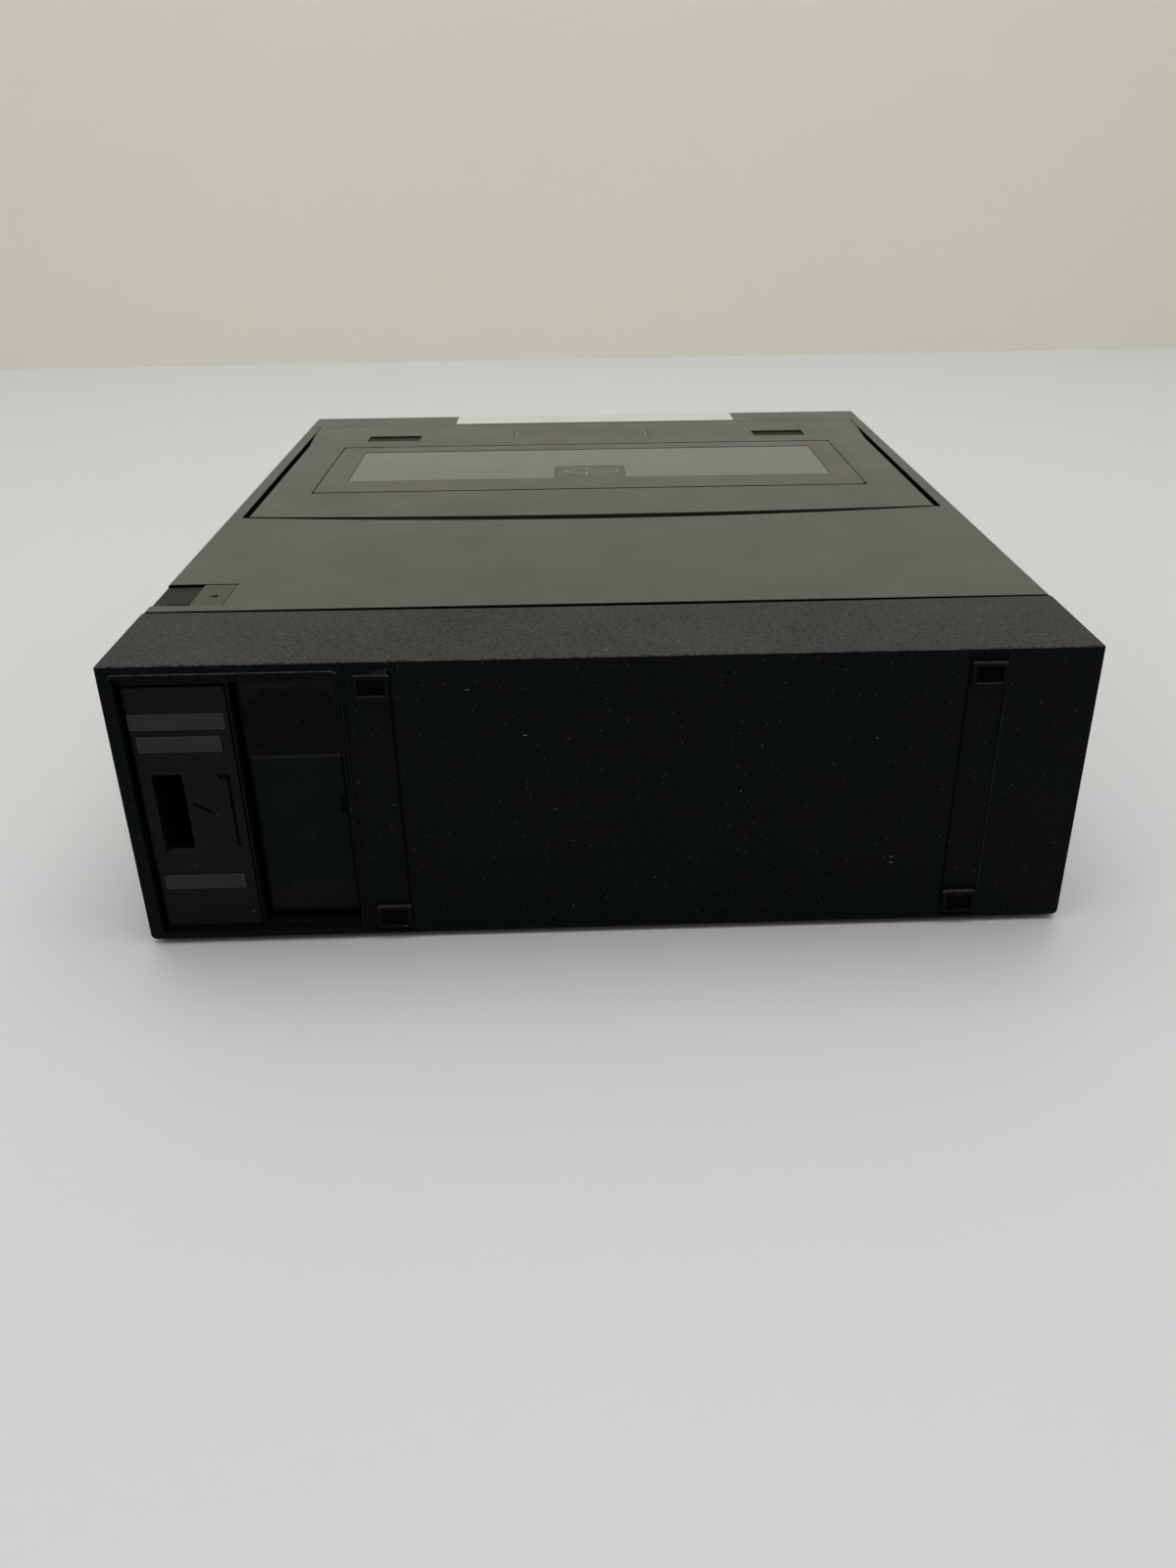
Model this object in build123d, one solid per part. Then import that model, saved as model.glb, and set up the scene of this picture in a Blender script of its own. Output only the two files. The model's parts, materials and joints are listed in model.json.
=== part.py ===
from build123d import *
import os
from math import atan2, cos, degrees, hypot, pi, radians, sin, sqrt

# A compact portable video cassette recorder, lid on top. Millimetres.
# +X right and +Y away for someone who looks at the connector (rear) face,
# +Z up. The origin is the middle of the rectangle it stands on.

# ---- The cassette, and the room round it that sets the case ----
CASSETTE_W = 188.0
CASSETTE_D = 104.0
CASSETTE_H = 25.0
SIDE_ROOM = 26.0        # each side of the cassette
CASSETTE_INSET = 6.0    # from the front seam to the loaded cassette
DRUM_BEHIND = 9.0       # drum's edge behind the cassette
DRUM_R = 31.0
DECK_MARGIN = 4.0       # deck's rear edge behind the drum
REAR_ROOM = 87.6        # for the power board and the connectors
UNDER_DECK = 41.4       # underside of the case to the deck
DECK_T = 1.2
DECK_UNDER = 5.0        # deck to the underside of the cassette

# ---- Case ----
FOOT_H = 1.5
WALL = 2.4
EDGE_R = 1.5            # rounding of the long lower edges
TOP_R = 0.6             # and of the long upper edges
END_R = 0.45            # rounding round the rear and front faces
SPLIT_H = 30.0          # height of the bottom case's side walls
SPLIT_GAP = 0.2
CAP_PROUD = 0.4         # the rear cap stands out at each side
CAP_DEPTH = 36.6
CAP_BOW = 1.2           # how far the cap's edge curves back in the middle
SEAM_GAP = 1.1
FRONT_DEPTH = 18.6
FRONT_GAP = 0.4
LAP = 3.0               # tongue under the neighbouring shell
LAP_CLEAR = 0.2
LAP_WALL = 1.2
COLUMN = 8.0            # posts for the case screws
COLUMN_REAR = 12.0
COLUMN_FRONT = 14.0
CLEAR = 0.3             # between pieces that must not touch
RUN_CLEAR = 0.04        # radial clearance of shafts and pins
COLUMN_IN = 6.0         # from the case's inner side
COLUMN_BELOW_RAIL = 2.0
COLUMN_LIFT = 2.0       # wide part above the split
COLUMN_SCREW = 14.0     # screw's hole above the floor
SCREW_PLAY = 0.1
SCREW_SUNK = 0.2
SCREW_SLOT = 0.6
SLOT_REACH = 2.0
SCREW_SLOT_DEEP = 0.8
BITE = 0.5              # how far fused shapes reach into each other
CUT = 1.0               # how far a cutting shape runs past a face
HAIR = 0.1

# ---- Rear face ----
REAR_WALL = 3.0
BEAD_W = 0.9
BEAD_PROUD = 0.4
PANEL_SIDE = 2.7        # connector field to the case's side
PANEL_LOW = 1.3         # heights are above the underside of the case
PANEL_DOWN = 2.2        # field's upper edge below the top
PANEL_SINK = 1.2
BEAD_LAND = 0.8         # bead's outer edge beyond the battery bay
DOOR_W = 25.0
DOOR_T = 2.5
DOOR_SINK = 1.3
DOOR_LOW = 3.4
DOOR_DOWN = 6.2         # door's upper edge below the top
DOOR_GAP = 0.4
DOOR_HEADROOM = 0.8
DOOR_PIN_R = 1.0
DOOR_PIN_L = 2.0
PIN_END = 0.1           # play at the end of a pin
EAR_R = 2.2             # round the door's pins
EAR_GAP = 0.4
GROOVE_W = 0.9          # finger groove beside the door's free edge
GROOVE_DEEP = 1.2
GROOVE_INSET = 2.9
GROOVE_UP = 1.2         # its lower end above the slot's
GROOVE_HOOK = 2.0       # it hooks towards the slot at the top
GROOVE_HOOK_H = 1.4
RIB_W = 0.7             # wall between the door and the battery bay
SLOT_W = 7.35           # adaptor slot, seen through the door
SLOT_H = 22.1
SLOT_LOW = 25.4
SLOT_INSET = 3.95       # from the door's hinged edge
SLOT_DEPTH = 15.0
SLOT_RIM = 1.1
SLOT_FLOOR = 4.0
CONTACT_COUNT = 8
CONTACT_PITCH = 2.6
CONTACT_T = 1.0
CONTACT_PROUD = 1.2
CONTACT_BACK = 2.0
PLATE_PROUD = 0.2      # bare plates on the door
# Left and right insets on the door, distance from its upper or lower edge, height.
UPPER_PLATES = [(1.0, 1.0, 6.8, 4.2), (2.15, 2.7, 12.8, 4.15)]
LOWER_PLATE = (2.25, 2.5, 11.4, 4.05)
JACK_PANEL_BACK = 11.0  # jack panel behind the door
JACK_PANEL_T = 1.5
AERIAL_UP = 11.5
AERIAL_R = 4.75
AERIAL_L = 9.0
AERIAL_THREADS = 5
THREAD_FIRST = 1.0
THREAD_PITCH = 1.5
THREAD_W = 0.6
THREAD_DEEP = 0.35
AERIAL_BORE = 7.0
AERIAL_BORE_R = 0.6
CAN_W = 20.0
CAN_L = 25.0
CAN_TALL = 17.0
CAN_LIFT = 2.0
CAN_EDGE = 0.8
CHANNEL_W = 12.0
CHANNEL_DEEP = 0.6
CHANNEL_GAP = 0.4       # left channel beyond the bead
CHANNEL_RIGHT_W = 9.8
CHANNEL_RIGHT_SIDE = 22.8
CHANNEL_END = 1.0
LUG_W = 8.7
LUG_H = 6.4
LUG_SIDE = 0.3          # lugs to the channel's right edge
LUG_PROUD = 0.8
LUG_RIM = 1.0
LUG_FLOOR = 0.2
LUG_R = 0.6
LUG_TOP_DOWN = 3.6      # upper lugs below the top
LUG_LOW = 2.1           # lower lugs above the underside

# ---- Battery ----
BATTERY_W = 24.6
BATTERY_SINK = 4.8
BATTERY_R = 1.2
NOTCH_SIDE = 1.3        # thumb notch in the battery's end
NOTCH_W = 1.1
NOTCH_H = 4.4
NOTCH_UP = 32.1
NOTCH_DEEP = 0.8
BAY_CLEAR = 0.4
BAY_FLOOR = 3.95
BAY_ROOF = 5.1
TRAY_WALL = 0.8
TRAY_LID_ROOM = 2.4     # tray's end to the lid's swing
TERMINAL = 8.0          # square blocks behind the contacts
TERMINAL_INSET = 12.0
TERMINAL_SIDE = 2.0
LEAF_T = 0.4
LEAF_W = 6.0
SLIDER_L = 8.7
SLIDER_W = 17.0
SLIDER_TRAVEL = 8.0
SLIDER_FROM_SEAM = 4.5
SLIDER_POCKET = 0.9
SLIDER_LOW = 0.1        # knob's face below the cover's face
SLIDER_R = 0.5
STEM_W = 2.4
STEM_SIDE = 0.6         # from the knob's rear edge
STEM_INSET = 1.5
STEM_L = 7.0
NOSE_W = 6.0
NOSE_T = 2.0
NOSE_SLOT = 7.0

# ---- Lid and basket ----
RAIL_W = 4.4            # cover beside the opening
RAIL_H = 9.0
RAIL_REAR = 12.0        # rails run on behind the lid
LID_BEHIND = 33.8       # lid's rear corners behind the cassette
LID_T = 2.6
LID_BOW = 3.6
LID_FLARE = 1.8         # the lid widens near its front corners
LID_FLARE_AT = 38.0     # from the lid's front edge
LID_FLARE_FULL = 13.0
OPENING_GAP = 2.2       # each side of the lid
OPENING_REAR_GAP = 1.1
OPENING_BOW = 7.8
SKIRT_H = 7.0
SKIRT_T = 1.6
HINGE_IN = 3.3          # lid's axis from its rear corners
HINGE_DOWN = 2.3        # and below the top face
HINGE_BLOCK = 7.0
HINGE_WALL = 3.0
SKIRT_REAR = 9.0        # the skirt stays open between the hinge blocks
LID_PIN_R = 1.1
LID_PIN_L = 10.4
LID_PIN_IN = 6.0
LID_PIN_HOLE = 2.7
LID_FIELD_X = -0.5      # window and grips off the lid's middle
INLAY_SIDE = 15.5       # lid beside the window inlay
INLAY_D = 71.0
INLAY_T = 1.4
INLAY_GAP = 0.35
INLAY_GAP_Y = 1.0       # the groove is wider along its rear and front edges
INLAY_FROM_FRONT = 41.7
INLAY_LEDGE = 4.0
PANE_SIDE = 9.5         # dark border beside the clear pane
PANE_D = 46.9
PANE_LOW = 0.15         # pane below its border
PANE_FROM_INLAY = 8.4   # from the inlay's front edge
TAB_W = 25.6
TAB_D = 18.7
GRIP_W = 21.2
GRIP_D = 9.8
GRIP_SIDE = 33.4        # middle of the grip pocket to the lid's side
GRIP_SINK = 0.8
GRIP_FROM_FRONT = 20.4
BADGE_W = 56.0
BADGE_D = 14.5
BADGE_T = 0.5
BADGE_X = -3.0
BADGE_GAP = 0.15
BADGE_FROM_FRONT = 13.6
SHEET = 1.0             # basket sheet metal
BASKET_CLEAR = 0.5
BASKET_DROP = 0.5       # bosses between lid and basket
BASKET_REAR = 3.0       # basket beyond the cassette
BASKET_FRONT = 1.0
BASKET_BOSS_R = 4.0
BASKET_BOSS_OUT = 3.5   # beside the clear pane
BASKET_BOSS_FRONT = 5.0
WINDOW_ROOM = 4.0
LEAD_IN = 2.0
LIP_W = 11.0
SIDE_CUTS = [24.0, 66.0]  # lightening cuts, from the basket's rear
SIDE_CUT_L = 26.0
SIDE_CUT_UP = 6.0
SIDE_CUT_DOWN = 8.0
KEEPER_OUT = 4.0        # keeper beside the basket
KEEPER_T = 3.0
KEEPER_D = 8.0
KEEPER_FROM_SEAM = 16.0
KEEPER_UP = 14.0
KEEPER_LIP = 1.0
KEEPER_WINDOW = 6.0
LATCH_T = 2.0
LATCH_ARM = 5.0
LATCH_BACK = 11.5       # latch pin in front of the keeper
LATCH_PIN_UP = 6.0
HOOK_T = 1.5
HOOK_UP = 2.5
HOOK_OUT = 4.0
LATCH_HUB_R = 4.0
EAR_D = 6.0
LABEL_W = 121.0
LABEL_D = 15.6
LABEL_T = 0.12
LABEL_X = 3.5
LABEL_OFF = 0.6

# ---- Deck and tape drive ----
DECK_SIDE_GAP = 14.2    # deck's edge to the case's inner side
DECK_BOSS_R = 4.0
DECK_BOSS_IN = 5.0      # from the deck's side
DECK_BOSS_FRONT = 9.0
DECK_BOSS_BAY = 10.0    # beside the battery bay
DECK_BOSS_CAM = 32.0    # in front of the cam's axis
SCREW_R = 1.4
SCREW_HEAD_R = 2.8
SCREW_HEAD_H = 1.6
SCREW_L = 9.0
DRUM_GAP = 0.4
LOWER_DRUM_H = 14.0
UPPER_DRUM_H = 8.6
DRUM_FLANGE = 3.0
DRUM_FLANGE_T = 2.0
DRUM_HUB_R = 11.6
DRUM_HUB_L = 8.0
DRUM_SHAFT_R = 3.0
DRUM_TILT = 6.0         # of the tape's guiding step
ROTOR_R = 15.0
ROTOR_H = 2.4
HEAD_NOTCH = 4.0
HEAD_NOTCH_H = 1.6
HEAD_NOTCHES = 4
DRUM_STEP = 0.4
DRUM_STEP_UP = 6.0
DRUM_CHAMFER = 0.6
DRUM_HOLES = 6
DRUM_HOLE_RING = 22.0
DRUM_HOLE_DEEP = 4.0
HOLE_R = 3.0
REEL_PITCH = 92.0
REEL_FROM_REAR = 56.0   # reel axes from the cassette's rear edge
REEL_R = 22.0
REEL_T = 3.0
REEL_LIFT = 0.5         # reel tables above the deck
SPINDLE_R = 5.0
SPINDLE_H = 10.0
FIN_OUT = 2.5
FIN_T = 1.8
FINS = 3
FIN_DOWN = 3.0
SPINDLE_EDGE = 1.2
REEL_HOLES = 6
REEL_HOLE_RING = 14.0
AXLE_R = 2.0
AXLE_UP = 4.0
CAPSTAN_X = 58.0
CAPSTAN_IN = 3.0        # from the cassette's rear edge
CAPSTAN_R = 2.0
CAPSTAN_H = 23.0
BEARING_R = 4.6
BEARING_UP = 4.0
CAPSTAN_CHAMFER = 0.4
FLYWHEEL_R = 19.0
FLYWHEEL_T = 6.0
STATOR_DROP = 5.0       # stator plate below the flywheel
STATOR_T = 1.5
STATOR_OUT = 6.0
POST_R = 1.8
POST_OUT = 3.0
MOTOR_PLATE_T = 1.2
MOTOR_ARM_W = 8.0
MOTOR_ARMS = 3
COIL_H = 3.0
COIL_IN = 3.0
COIL_R = 6.0
PULLEY_R = 6.0
PULLEY_T = 3.0
PULLEY_DROP = 2.5       # pulley grooves below the deck
PULLEY_EDGE = 0.5
PULLEY_HOLES = 4
PULLEY_HOLE_R = 2.0
CENTRE_PULLEY_R = 12.0
CENTRE_BACK = 16.0      # centre pulley behind the reels
DRIVE_R = 7.0
IDLER_R = 10.0
IDLER_ARM_W = 9.0
IDLER_PIN = 2.2
IDLER_HOLES = 4
IDLER_HOLE_R = 1.6
BELT_T = 1.0
BELT_H = 1.9
ROLLER_R = 7.0
ROLLER_H = 15.0
ROLLER_LIFT = 4.5
ROLLER_PIN = 4.5
PINCH_ARM = 26.0
PINCH_ARM_W = 8.0
PINCH_ARM_T = 1.5
PINCH_LIFT = 2.0
PINCH_HUB_H = 8.0
PINCH_POST = 9.0
PINCH_AT = 155.0        # arm's direction with the roller on the capstan
PINCH_SWING = 30.0
PINCH_LEAN = -75.0      # roller's direction from the capstan
GUIDE_OUT = 2.0         # guides' start beside the drum
GUIDE_IN = 7.0
GUIDE_TRAVEL = 44.0
GUIDE_SPREAD = 10.0
GUIDE_R = 3.0
GUIDE_H = 22.0
GUIDE_BASE = 9.0
GUIDE_BASE_T = 3.0
GUIDE_SHOE_DOWN = 1.2
GUIDE_SHOE_T = 1.5
GUIDE_SHOE_OUT = 1.0
GUIDE_FLANGE = 0.9
GUIDE_FLANGE_T = 1.5
GUIDE_SLOT = 5.6
HEAD_H = 21.0
HEAD_EDGE = 0.4
TAPE_W = 13.0
ERASE_OUT = 20.0        # beside the supply guide
ERASE_BACK = 16.0       # behind the cassette
ERASE_W = 8.0
ERASE_D = 7.0
ERASE_CUT = 2.5
ERASE_CHEEK = 2.0
CONTROL_SIDE = 11.0     # beside the capstan
CONTROL_BACK = 3.5
CONTROL_W = 7.0
CONTROL_D = 9.0
CONTROL_BASE_T = 2.2
GEAR_MODULE = 0.8
GEAR_TEETH = 48
PINION_TEETH = 12
GEAR_T = 4.0
GEAR_ADDENDUM = 0.9
GEAR_DEDENDUM = 1.2
TOOTH_LEAN = 0.36       # slope of a tooth's flank
GEAR_DROP = 10.0        # gears below the deck
BACKLASH = 0.12
CAM_SIDE = 19.0         # cam's axis from the deck's side
CAM_IN = 13.0           # and from the cassette's rear edge
MOTOR_R = 10.0
MOTOR_H = 17.0
MOTOR_SHAFT_R = 1.5
CAM_HUB_R = 5.0
CAM_HUB_DOWN = 1.0
TRACK_R = 11.0
TRACK_W = 3.0
TRACK_DEEP = 1.6
PINION_SHAFT = 5.0
STRAP_W = 8.0
STRAP_GAP = 1.0
STRAP_T = 2.5

# ---- Boards ----
BOARD_T = 1.6
BOARD_LIFT = 5.0        # above the case's floor
BOARD_BOSS_R = 3.0
BOARD_GAP = 4.0         # boards to their neighbours
CHIP_H = 2.5
CAPACITOR_R = 5.0
CAPACITOR_H = 21.0
CAPACITORS = 4
CAPACITOR_PITCH = 14.0
CAPACITOR_IN = 16.0
COIL_W = 26.0
COIL_D = 22.0
COIL_TALL = 18.0
BOSS_SIDE = 80.0        # board bosses, from the middle of the case
BOSS_MIDDLE = 60.0
BOSS_LEFT = 30.0
BOSS_FRONT = 30.0
BOSS_REAR = 14.0
BOSS_DECK = 28.0
BOSS_CAP = 12.0
# Offsets from the middle of the case and the board's rear edge, width, depth.
MAIN_CHIPS = [(-30, 118, 26, 12), (10, 138, 18, 18), (40, 118, 22, 10), (80, 128, 14, 14),
              (-20, 158, 30, 10), (-30, 68, 16, 16), (0, 48, 24, 10)]
POWER_CHIPS = [(60, 14, 20, 12), (60, 40, 16, 16)]
SINK_W = 12.0
SINK_L = 30.0
SINK_H = 30.0
SINK_FINS = 8
SINK_PITCH = 4.0
SINK_T = 1.2
SINK_BASE = 2.0
SINK_BACK = 11.9

# ---- Front ----
KEY_W = 19.0
KEY_H = 12.0
KEY_PITCH = 21.0
KEY_PROUD = 0.8
KEY_TRAVEL = 1.5
KEY_DOWN = 25.0         # keys' middle below the top
KEY_KNOB_GAP = 6.0
KEY_FLANGE = 1.0
KEY_FLANGE_SIDE = 0.7
KEY_EDGE = 0.6
KEY_STEM = 4.0
FLANGE_T = 1.2
KEY_NAMES = ["eject", "rewind", "stop", "play", "forward", "record", "pause"]
DISPLAY_W = 84.0
DISPLAY_H = 18.0
DISPLAY_X = -16.0
DISPLAY_RIM = 2.0
LOWER_ROW_Z = 22.0      # middle of the display, switch and jacks
BUTTON_LOW = 0.2        # display and switch below the panel's face
SWITCH_SIDE = 24.6      # from the case's side
SWITCH_W = 9.0
SWITCH_H = 6.0
SWITCH_TRAVEL = 6.0
SWITCH_DEEP = 3.0
SWITCH_FLANGE = 4.0
SWITCH_STEM = 3.0
GROOVE_COUNT = 4
GRIP_PITCH = 2.0
GRIP_GROOVE = 0.8
KNOB_SIDE = 14.6
KNOB_R = 6.5
KNOB_BACK = 3.0
KNOB_SHAFT_R = 3.0
POT_R = 5.0
POT_DEEP = 4.0
TACT_DEEP = 2.0
TACT = 3.0              # half the width of a key's contact
FRONT_BOARD_GAP = 0.6
FRONT_BOARD_IN = 3.0
SOCKET_SIDE = 31.6
SOCKET_R = 10.5
SOCKET_BORE_R = 8.5
SOCKET_DEEP = 9.0
SOCKET_L = 14.0
SOCKET_PINS = 10
SOCKET_PIN_RING = 5.6
SOCKET_PIN_R = 0.5
SOCKET_PIN_L = 4.0
SOCKET_COLLAR = 1.5
JACK_SIDE = 13.6        # last jack from the case's side
JACK_PITCH = 17.0
JACK_COUNT = 3
JACK_R = 4.15
JACK_L = 8.0
JACK_BORE_R = 1.7
JACK_FIELD = 9.0        # from the jacks' middle to the field's edge
JACK_WALL = 1.6
JACK_FIELD_END = 4.0
JACK_REAR = 4.0

# ---- Feet ----
FOOT_R = 7.0
FOOT_EDGE = 0.5
FOOT_SIDE = 25.0
FOOT_REAR = 22.0
FOOT_FRONT = 31.3

# ---- Levels and lines worked out from the sizes above ----
BODY_W = CASSETTE_W + 2 * SIDE_ROOM
TAPE_D = DRUM_BEHIND + 2 * DRUM_R + DECK_MARGIN
BODY_D = FRONT_DEPTH + CASSETTE_INSET + CASSETTE_D + TAPE_D + REAR_ROOM
LOAD_H = DECK_T + DECK_UNDER + CASSETTE_H + CLEAR
BODY_H = UNDER_DECK + LOAD_H + SHEET + BASKET_DROP + LID_T
X_SIDE = BODY_W / 2
X_COVER = X_SIDE - CAP_PROUD
X_IN = X_COVER - WALL
Y_REAR = -BODY_D / 2
Y_FRONT = BODY_D / 2
Z_BASE = FOOT_H
Z_TOP = FOOT_H + BODY_H
Z_FLOOR = Z_BASE + WALL
Z_CEILING = Z_TOP - WALL
Z_SPLIT = Z_BASE + SPLIT_H
Y_CAP = Y_REAR + CAP_DEPTH
Y_COVER = Y_CAP + SEAM_GAP
Y_SEAM = Y_FRONT - FRONT_DEPTH
Y_COVER_END = Y_SEAM - FRONT_GAP
Y_PANEL_IN = Y_FRONT - WALL
Y_CASSETTE = Y_SEAM - CASSETTE_INSET
Y_TAPE = Y_CASSETTE - CASSETTE_D
OPENING_X = X_COVER - RAIL_W
LID_HALF = OPENING_X - OPENING_GAP
LID_FRONT = Y_COVER_END
LID_REAR = Y_TAPE - LID_BEHIND
HINGE_Y = LID_REAR + HINGE_IN
HINGE_Z = Z_TOP - HINGE_DOWN
Z_LID = Z_TOP - LID_T
Z_BASKET = Z_LID - BASKET_DROP
Z_CASSETTE = Z_BASKET - SHEET - CLEAR - CASSETTE_H
Z_DECK = Z_CASSETTE - DECK_UNDER
Z_UNDECK = Z_DECK - DECK_T
INLAY_FRONT = LID_FRONT - INLAY_FROM_FRONT
INLAY_HALF = LID_HALF - INLAY_SIDE
PANE_FRONT = INLAY_FRONT - PANE_FROM_INLAY
PANE_HALF = INLAY_HALF - PANE_SIDE
DECK_SIDE = X_IN - DECK_SIDE_GAP
DRUM_Y = Y_TAPE - DRUM_BEHIND - DRUM_R
DECK_REAR = DRUM_Y - DRUM_R - DECK_MARGIN
DECK_FRONT = Y_CASSETTE
REEL_Y = Y_TAPE + REEL_FROM_REAR
CENTRE_Y = REEL_Y - CENTRE_BACK
CAPSTAN_Y = Y_TAPE + CAPSTAN_IN
CAM_X = -DECK_SIDE + CAM_SIDE
CAM_Y = Y_TAPE + CAM_IN
GEAR_REACH = GEAR_MODULE * (GEAR_TEETH + PINION_TEETH) / 2
PINION_Y = CAM_Y + GEAR_REACH
GUIDE_X = DRUM_R + GUIDE_OUT
IDLER_REACH = DRIVE_R + IDLER_R + CLEAR
Z_REEL = Z_DECK + REEL_LIFT
Z_BELT = Z_UNDECK - PULLEY_T - PULLEY_DROP
Z_STATOR = Z_BELT - FLYWHEEL_T - STATOR_DROP
Z_GEAR = Z_UNDECK - GEAR_DROP
KEEPER_X = CASSETTE_W / 2 + BASKET_CLEAR + SHEET + KEEPER_OUT
KEEPER_Y = Y_SEAM - KEEPER_FROM_SEAM
KEEPER_Z = Z_CASSETTE + KEEPER_UP
LATCH_Y = KEEPER_Y + LATCH_BACK
LATCH_Z = Z_DECK + LATCH_PIN_UP
PANEL_X = -X_SIDE + PANEL_SIDE
DOOR_X = PANEL_X + BEAD_W + DOOR_GAP
DOOR_END = DOOR_X + DOOR_W
DOOR_Z = Z_BASE + DOOR_LOW
DOOR_TOP = Z_TOP - DOOR_DOWN
DOOR_Y = Y_REAR + DOOR_SINK
DOOR_BACK = DOOR_Y + DOOR_T
DOOR_AXIS_X = DOOR_X + DOOR_T / 2
DOOR_AXIS_Y = DOOR_Y + DOOR_T / 2
JACK_PANEL_Y = DOOR_BACK + JACK_PANEL_BACK
AERIAL_X = (DOOR_X + DOOR_END) / 2
AERIAL_Z = Z_BASE + AERIAL_UP
SLOT_X = DOOR_X + SLOT_INSET
SLOT_Z = Z_BASE + SLOT_LOW
BAY_X = DOOR_END + DOOR_GAP + RIB_W
BAY_END = BAY_X + BATTERY_W + 2 * BAY_CLEAR
BAY_Z = Z_BASE + BAY_FLOOR
BAY_TOP = Z_TOP - BAY_ROOF
PANEL_END = BAY_END + BEAD_LAND
TRAY_Y = Y_REAR + REAR_WALL
TRAY_END = LID_REAR - LID_BOW - TRAY_LID_ROOM - TRAY_WALL
BATTERY_Y = Y_REAR + BATTERY_SINK
BATTERY_END = TRAY_END - 2 * WALL
SLIDER_X = -X_IN + SLIDER_TRAVEL
SLIDER_REAR = Y_COVER + SLIDER_FROM_SEAM
SLIDER_Y = SLIDER_REAR + CLEAR + SLIDER_W / 2
STEM_Y = SLIDER_REAR + CLEAR + STEM_SIDE + STEM_W / 2
Z_BOARD = Z_FLOOR + BOARD_LIFT
Z_BOARD_TOP = Z_BOARD + BOARD_T
BOARD_X = BAY_END + BOARD_GAP
POWER_REAR = TRAY_Y + BOARD_GAP
POWER_FRONT = DECK_REAR - BOARD_GAP / 2
FOOT_X = X_SIDE - FOOT_SIDE
Z_LOWER_ROW = Z_BASE + LOWER_ROW_Z
Z_KEY = Z_TOP - KEY_DOWN
KNOB_X = -X_COVER + KNOB_SIDE
SWITCH_X = -X_COVER + SWITCH_SIDE
KEY_LAST_X = KNOB_X + KNOB_R + KEY_KNOB_GAP + KEY_W / 2
SOCKET_X = X_COVER - SOCKET_SIDE
FRONT_BOARD_Y = Y_SEAM + LAP + FRONT_BOARD_GAP
FRONT_BOARD_FACE = FRONT_BOARD_Y + BOARD_T
JACK_BACK = Y_FRONT - JACK_L - CUT


def block(x0, x1, y0, y1, z0, z1):
    """A box between two corners, given in either order."""
    solid = Box(abs(x1 - x0), abs(y1 - y0), abs(z1 - z0))
    return Pos((x0 + x1) / 2, (y0 + y1) / 2, (z0 + z1) / 2) * solid


def disc(x, y, z0, z1, radius):
    """An upright cylinder."""
    return Pos(x, y, (z0 + z1) / 2) * Cylinder(radius, abs(z1 - z0))


def ring(x, y, z0, z1, outer, inner):
    """An upright tube."""
    return disc(x, y, z0, z1, outer) - disc(x, y, z0 - CUT, z1 + CUT, inner)


def rod_y(x, z, y0, y1, radius):
    """A cylinder along Y."""
    return Pos(x, (y0 + y1) / 2, z) * Rot(90, 0, 0) * Cylinder(radius, abs(y1 - y0))


def rod_x(y, z, x0, x1, radius):
    """A cylinder along X."""
    return Pos((x0 + x1) / 2, y, z) * Rot(0, 90, 0) * Cylinder(radius, abs(x1 - x0))


def turned(x, y, angle, shape):
    """A shape made about the origin, turned and set at x, y."""
    return Pos(x, y, 0) * Rot(0, 0, angle) * shape


def circle_places(x, y, radius, count, first=0.0):
    """Points evenly spaced on a circle; the first angle is in degrees."""
    step = 360 / count
    angles = [radians(first + step * i) for i in range(count)]
    return [(x + radius * cos(a), y + radius * sin(a)) for a in angles]


def slab(width, y0, y1, z0, z1, radius):
    """A bar along Y with rounded long edges."""
    face = Plane.XZ * RectangleRounded(width, z1 - z0, radius)
    return Pos(0, y1, (z0 + z1) / 2) * extrude(face, amount=y1 - y0)


def case_bar(width, y0, y1):
    """The case's outer shape: its upper edges are sharper than its lower ones."""
    bar = block(-width / 2, width / 2, y0, y1, Z_BASE, Z_TOP)
    bar = fillet(bar.edges().filter_by(Axis.Y).group_by(Axis.Z)[-1], TOP_R)
    return fillet(bar.edges().filter_by(Axis.Y).group_by(Axis.Z)[0], EDGE_R)


def tongue(y_own, y_root, y_end):
    """The lap inside a seam: it fills from y_root to y_own and runs on to y_end."""
    low, high = Z_FLOOR, Z_CEILING
    root = slab(2 * X_IN, min(y_own, y_root), max(y_own, y_root), low, high, EDGE_R)
    reach_w = 2 * (X_IN - LAP_CLEAR)
    reach = slab(reach_w, min(y_own, y_end), max(y_own, y_end),
                 low + LAP_CLEAR, high - LAP_CLEAR, EDGE_R)
    hole_x = reach_w / 2 - LAP_WALL
    hole = block(-hole_x, hole_x, min(y_root, y_end) - CUT, max(y_root, y_end) + CUT,
                 low + LAP_CLEAR + LAP_WALL, high - LAP_CLEAR - LAP_WALL)
    return root + reach - hole


def case_tube(y0, y1):
    """The case's outer section between two cross-sections, hollow."""
    outer = case_bar(2 * X_COVER, y0, y1)
    return outer - block(-X_IN, X_IN, y0 - CUT, y1 + CUT, Z_FLOOR, Z_CEILING)


def case_laps():
    """Tongues at the rear and front seams."""
    rear = tongue(Y_COVER, Y_COVER + LAP, Y_CAP - LAP - CAP_BOW)
    front = tongue(Y_COVER_END, Y_COVER_END - LAP, Y_SEAM + LAP)
    room = TRAY_WALL + CLEAR
    tray = block(BAY_X - room, BAY_END + room, Y_REAR, TRAY_END, Z_FLOOR, Z_SPLIT)
    return rear + front - tray


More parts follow.
